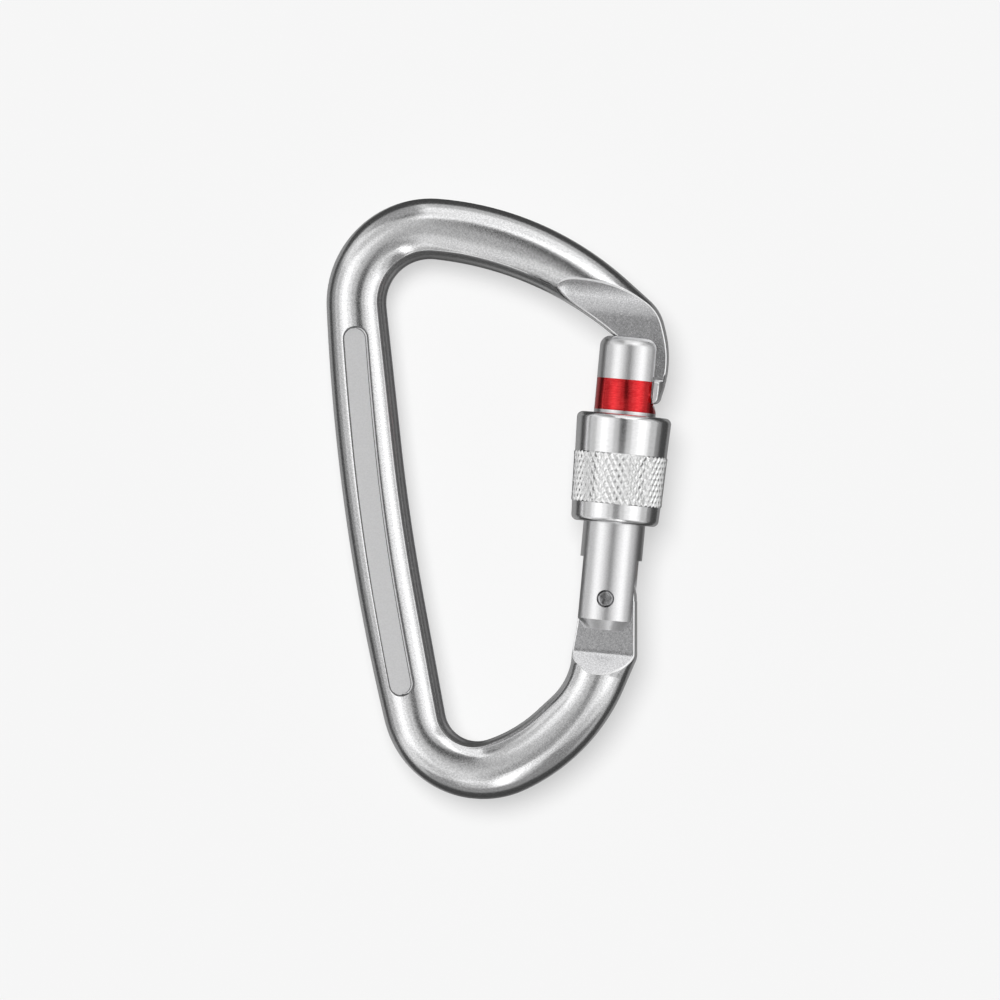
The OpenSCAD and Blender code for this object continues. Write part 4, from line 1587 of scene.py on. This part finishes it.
@dataclass
class LockSleeve:
    """The screw sleeve, with a raised diamond knurl round its middle."""

    piece: Piece = Piece("screw_sleeve", "sleeve", "lock_sleeve", "sleeve_aluminium")

    # The turned form, by heights above its foot.
    foot: float = 12.95
    length: float = 18.65
    low_r: float = 7.5
    top_r: float = 8.1
    bore_r: float = 5.4
    mouth_r: float = 6.75
    mouth_rise: float = 13.55
    edge_r: float = 1.0
    rim: float = 0.15

    # The knurl: where it lies, how far its points stand above the side and its grooves lie below it, its diamonds
    # round the sleeve, its rows of lattice points, and the share of a diamond that its blunt point keeps.
    knurl_rise: float = 3.25
    knurl_h: float = 8.7
    knurl_proud: float = 0.13
    knurl_sunk: float = 0.06
    round_count: int = 48
    row_steps: int = 9
    top_share: float = 0.40

    def side_r(self, rise: float) -> float:
        """Radius of the sleeve's conical side at a height above its foot."""
        return mix(self.low_r, self.top_r, rise / self.length)

    def profile(self) -> list[Point2]:
        """Half profile of the sleeve, from the top of the knurl over the mouth and the bore to the knurl's foot.

        Returns:
            Points of radius and height.
        """
        r, rim, top = self.edge_r, self.rim, self.knurl_rise + self.knurl_h
        heights = [
            (self.side_r(top), top),
            *[(self.top_r - r + r * math.cos(a), self.length - r + r * math.sin(a)) for a in QUARTER],
            (self.mouth_r + rim, self.length),
            (self.mouth_r, self.length - rim),
            (self.mouth_r, self.mouth_rise),
            (self.bore_r, self.mouth_rise),
            (self.bore_r, rim),
            (self.bore_r + rim, 0.0),
            *[(self.low_r - r + r * math.sin(a), r - r * math.cos(a)) for a in QUARTER],
            (self.side_r(self.knurl_rise), self.knurl_rise),
        ]
        return [(radius, self.foot + rise) for radius, rise in heights]

    def lattice_point(self, column: int, row: int) -> Corner:
        """A point of the knurl's lattice, on the plain side at the band's edges and sunk between them.

        Args:
            column: Its column, round the sleeve.
            row: Its row, upwards.

        Returns:
            The point.
        """
        rise = self.knurl_rise + self.knurl_h / self.row_steps * row
        radius = self.side_r(rise) - (self.knurl_sunk if 0 < row < self.row_steps else 0.0)
        angle = math.pi * column / self.round_count
        return radius * math.cos(angle), self.foot + rise, -radius * math.sin(angle)

    def knurl(self) -> bpy.types.Object:
        """Models the knurled band: a lattice of diamonds, each inset and raised to a blunt point.

        Returns:
            The band, open at its edges.
        """
        columns, rows = 2 * self.round_count, self.row_steps
        points = [self.lattice_point(c, r) for r in range(rows + 1) for c in range(columns)]
        faces = []
        for r in range(rows + 1):
            for c in range(r % 2, columns, 2):
                around = ((c - 1, r), (c, r - 1), (c + 1, r), (c, r + 1))
                faces.append([row * columns + column % columns for column, row in around if 0 <= row <= rows])
        faces.sort(key=len, reverse=True)
        obj = Bench.start("knurl", points, faces)
        Bench.edit(obj)
        bpy.ops.mesh.normals_make_consistent(inside=False)
        bpy.ops.mesh.select_all(action="DESELECT")
        Bench.close()
        for polygon in obj.data.polygons:
            polygon.select = len(polygon.vertices) == 4
        bpy.ops.object.mode_set(mode="EDIT")
        bpy.ops.mesh.select_mode(type="FACE")
        width = math.tau * self.side_r(self.knurl_rise) / self.round_count
        height = 2 * self.knurl_h / rows
        bpy.ops.mesh.inset(
            thickness=width * height / math.hypot(width, height) / 2 * (1 - self.top_share),
            depth=self.knurl_sunk + self.knurl_proud,
            use_individual=True,
            use_even_offset=True,
        )
        Bench.close()
        return obj

    def build(self) -> bpy.types.Object:
        """Models the sleeve: a spun shell joined with its knurled band.

        Returns:
            The sleeve.
        """
        shell = Bench.lathe("screw_sleeve", self.profile(), 2 * self.round_count, closed=False)
        knurl = self.knurl()
        looks = [0] * len(shell.data.polygons) + [int(len(p.vertices) == 4) for p in knurl.data.polygons]
        Bench.hold(shell)
        knurl.select_set(True)
        bpy.ops.object.join()
        Bench.settle(shell, angle=20)
        self.piece.seat(shell, [TURNED, KNURLED])
        shell.data.polygons.foreach_set("material_index", looks)
        return shell


@dataclass
class InnerParts:
    """The parts inside the gate and the sleeve, which keep their solids."""

    finishes: dict[str, Finish] = field(
        default_factory=lambda: {"gate_spring": WIRE, "spring_plunger": BRASS, "drag_ring": WIRE}
    )

    def dress(self) -> None:
        """Gives each solid its finish."""
        for name, finish in self.finishes.items():
            mesh = FRAME["nodes"][name].data
            mesh.materials.clear()
            mesh.materials.append(finish.material())
            LOG.info("%s: kept as a solid", name)


def turned(right: Vector, up: Vector, back: Vector, place: Vector) -> Matrix:
    """A placing matrix from three directions and a place."""
    return Matrix.Translation(place) @ Matrix((right, up, back)).transposed().to_4x4()


def stand(data: bpy.types.ID, matrix: Matrix) -> bpy.types.Object:
    """Adds a camera or a light to the scene.

    Args:
        data: The camera or the light.
        matrix: Its place and turn.

    Returns:
        Its object, of the same name.
    """
    obj = bpy.data.objects.new(data.name, data)
    bpy.context.scene.collection.objects.link(obj)
    obj.matrix_world = matrix
    return obj


@dataclass
class SoftBox:
    """A large soft light, which only shines on metal.

    Attributes:
        name: The light's name.
        side: The side of the camera's line that it stands on.
        near_angle: The angle from that line, in degrees, at which the part sees its near edge.
        far_angle: The angle at which the part sees its far edge.
        length: Its length, square to that side.
        radiance: How bright it is.
        distance: How far away both edges are.
    """

    name: str
    side: Vector
    near_angle: float
    far_angle: float
    length: float
    radiance: float
    distance: float = 0.9

    def edge(self, back: Vector, angle: float) -> Vector:
        """The middle of an edge that is seen at an angle, in degrees, from the direction back to the camera."""
        turn = math.radians(angle)
        return (back * math.cos(turn) + self.side * math.sin(turn)) * self.distance

    def build(self, back: Vector) -> None:
        """Adds the light.

        Args:
            back: The direction back to the camera.
        """
        first, last = self.edge(back, self.near_angle), self.edge(back, self.far_angle)
        run, middle = last - first, (first + last) / 2
        across = run.normalized()
        along = back.cross(self.side).normalized()
        facing = across.cross(along).normalized()
        if facing.dot(middle) < 0:
            along, facing = -along, -facing
        data = bpy.data.lights.new(self.name, "AREA")
        data.shape = "RECTANGLE"
        data.size, data.size_y = run.length, self.length
        data.energy = self.radiance * 4 * run.length * self.length
        obj = stand(data, turned(across, along, facing, middle))
        obj.visible_camera = False
        obj.visible_diffuse = False


@dataclass
class Studio:
    """The pale floor, the lights and the camera, which looks down on the part as it lies.

    Attributes:
        lean: The camera's lean to the right of the part's front, in degrees.
        roll: The camera's roll, in degrees.
        centre: Where it looks, in millimetres.
        view_width: Width of its view, in metres.
        distance: Its distance, in metres.
        sensor: Width of its sensor, in millimetres.
        rest_depth: Depth of the floor below the part's mid-plane, in millimetres.
        floor_size: The floor's size, in metres.
        floor_glow: How much the floor glows.
        floor_shade: The floor's own grey.
        key: Strength of the key light, which only shines on the floor.
        key_size: How wide the key light is, in degrees.
        key_lean: Its lean from the camera's line, in degrees.
        key_left: How far it leans to the left for each length upwards.
        sky: Strength of the surround.
    """

    lean: float = 4.8
    roll: float = 5.35
    centre: Point2 = (2.45, 0.44)
    view_width: float = 0.1715
    distance: float = 1.3
    sensor: float = 36.0
    rest_depth: float = 7.95
    floor_size: float = 6.0
    floor_glow: float = 0.56
    floor_shade: float = 0.30
    key: float = 3.75
    key_size: float = 30.0
    key_lean: float = 15.5
    key_left: float = 0.6
    sky: float = 0.06

    def axes(self) -> tuple[Vector, Vector, Vector]:
        """The camera's directions in the part's frame.

        Returns:
            The directions right, up and back.
        """
        back = Vector((math.tan(math.radians(self.lean)), 0, 1)).normalized()
        roll = math.radians(self.roll)
        up = Vector((-math.sin(roll), math.cos(roll), 0))
        up = (up - back * up.dot(back)).normalized()
        return up.cross(back), up, back

    def camera(self) -> None:
        """Adds the camera."""
        right, up, back = self.axes()
        data = bpy.data.cameras.new("camera")
        data.sensor_width = self.sensor
        data.lens = self.sensor * self.distance / self.view_width
        data.clip_start, data.clip_end = 0.01, 20.0
        target = Vector((*self.centre, 0)) * MM
        bpy.context.scene.camera = stand(data, turned(right, up, back, target + back * self.distance))

    def floor(self) -> None:
        """Adds the pale floor that the part lies on."""
        right, up, back = self.axes()
        Bench.clear()
        bpy.ops.mesh.primitive_plane_add(size=self.floor_size)
        obj = bpy.context.active_object
        obj.name = "floor"
        obj.matrix_world = turned(right, up, back, back * (-self.rest_depth * MM))
        shade = self.floor_shade
        material = Graph("pale_floor").surface(
            {
                "Base Color": (shade, shade, shade, 1),
                "Roughness": 1.0,
                "Specular IOR Level": 0.0,
                "Emission Color": (1, 1, 1, 1),
                "Emission Strength": self.floor_glow,
            }
        )
        obj.data.materials.append(material)
        obj.visible_glossy = False
        obj.visible_shadow = False

    def boxes(self) -> list[SoftBox]:
        """The soft boxes on all sides of the part.

        Returns:
            The boxes.
        """
        right, up, _ = self.axes()
        top = (up + 0.22 * right).normalized()
        crown = (up - 0.7 * right).normalized()
        upper_right = (right + 0.13 * up).normalized()
        low = (0.16 * right - up).normalized()
        toe = (right - up).normalized()
        heel = -(up + right).normalized()
        return [
            SoftBox("left_box", -right, 8, 88, 1.6, 0.40),
            SoftBox("left_core", -right, 22, 68, 0.8, 0.30, 0.85),
            SoftBox("left_hot", -right, 36, 56, 0.7, 0.26, 0.8),
            SoftBox("left_skirt", -right, 84, 107, 2.0, 0.18, 0.8),
            SoftBox("left_strip", -right, 127, 172, 0.8, 0.20, 0.8),
            SoftBox("right_box", upper_right, 9, 88, 1.5, 0.40),
            SoftBox("right_core", right, 22, 68, 0.8, 0.34, 0.85),
            SoftBox("right_hot", right, 38, 58, 0.7, 0.26, 0.8),
            SoftBox("right_skirt", right, 84, 104, 2.0, 0.14, 0.8),
            SoftBox("right_strip", right, 138, 172, 0.8, 0.14, 0.8),
            SoftBox("top_box", top, 34, 84, 0.7, 0.70),
            SoftBox("top_skirt", top, 84, 106, 0.8, 0.36),
            SoftBox("crown_skirt", crown, 64, 104, 0.9, 0.22, 0.85),
            SoftBox("low_box", low, 30, 72, 0.16, 0.80),
            SoftBox("toe_skirt", toe, 58, 102, 0.6, 0.15, 0.85),
            SoftBox("foot_box", -up, 3, 58, 0.5, 0.20),
            SoftBox("foot_core", -up, 42, 74, 0.6, 0.36, 0.85),
            SoftBox("foot_skirt", -up, 74, 100, 0.8, 0.18),
            SoftBox("heel_skirt", heel, 58, 102, 0.6, 0.18, 0.85),
            SoftBox("foot_strip", -up, 142, 172, 0.6, 0.06, 0.8),
        ]

    def lights(self) -> None:
        """Adds the soft boxes, the key light and a dim surround."""
        right, up, back = self.axes()
        for box in self.boxes():
            box.build(back)
        sun = bpy.data.lights.new("key", "SUN")
        sun.energy, sun.angle = self.key, math.radians(self.key_size)
        lean = math.radians(self.key_lean)
        towards = back * math.cos(lean) + (up - self.key_left * right).normalized() * math.sin(lean)
        aside = towards.cross(up).normalized()
        stand(sun, turned(aside, towards.cross(aside), towards, towards)).visible_glossy = False
        world = bpy.data.worlds.new("surround")
        world.use_nodes = True
        ground = world.node_tree.nodes["Background"]
        ground.inputs["Color"].default_value = (1, 1, 1, 1)
        ground.inputs["Strength"].default_value = self.sky
        bpy.context.scene.world = world

    def build(self) -> None:
        """Sets up the whole studio."""
        self.camera()
        self.floor()
        self.lights()
        bpy.context.scene.view_settings.view_transform = "Standard"


def keep_inside(obj: bpy.types.Object) -> None:
    """Trims a mesh's last hundredths of a millimetre to the box of the solids.

    Args:
        obj: The finished piece.
    """
    low, high = (np.array(corner, np.float32) for corner in CAD_BOX)
    vertices = obj.data.vertices
    vertices.foreach_set("co", np.clip(Bench.read(vertices, "co"), low, high).ravel())
    obj.data.update()


def main() -> None:
    """Builds the pieces and the studio in order."""
    logging.basicConfig(level=logging.INFO, format="%(name)s %(message)s")
    for maker in (FrameBar(), Gate(), WarningBand(), HingeRivet(), LockSleeve()):
        keep_inside(maker.build())
    InnerParts().dress()
    Studio().build()


if __name__ == "__main__":
    main()
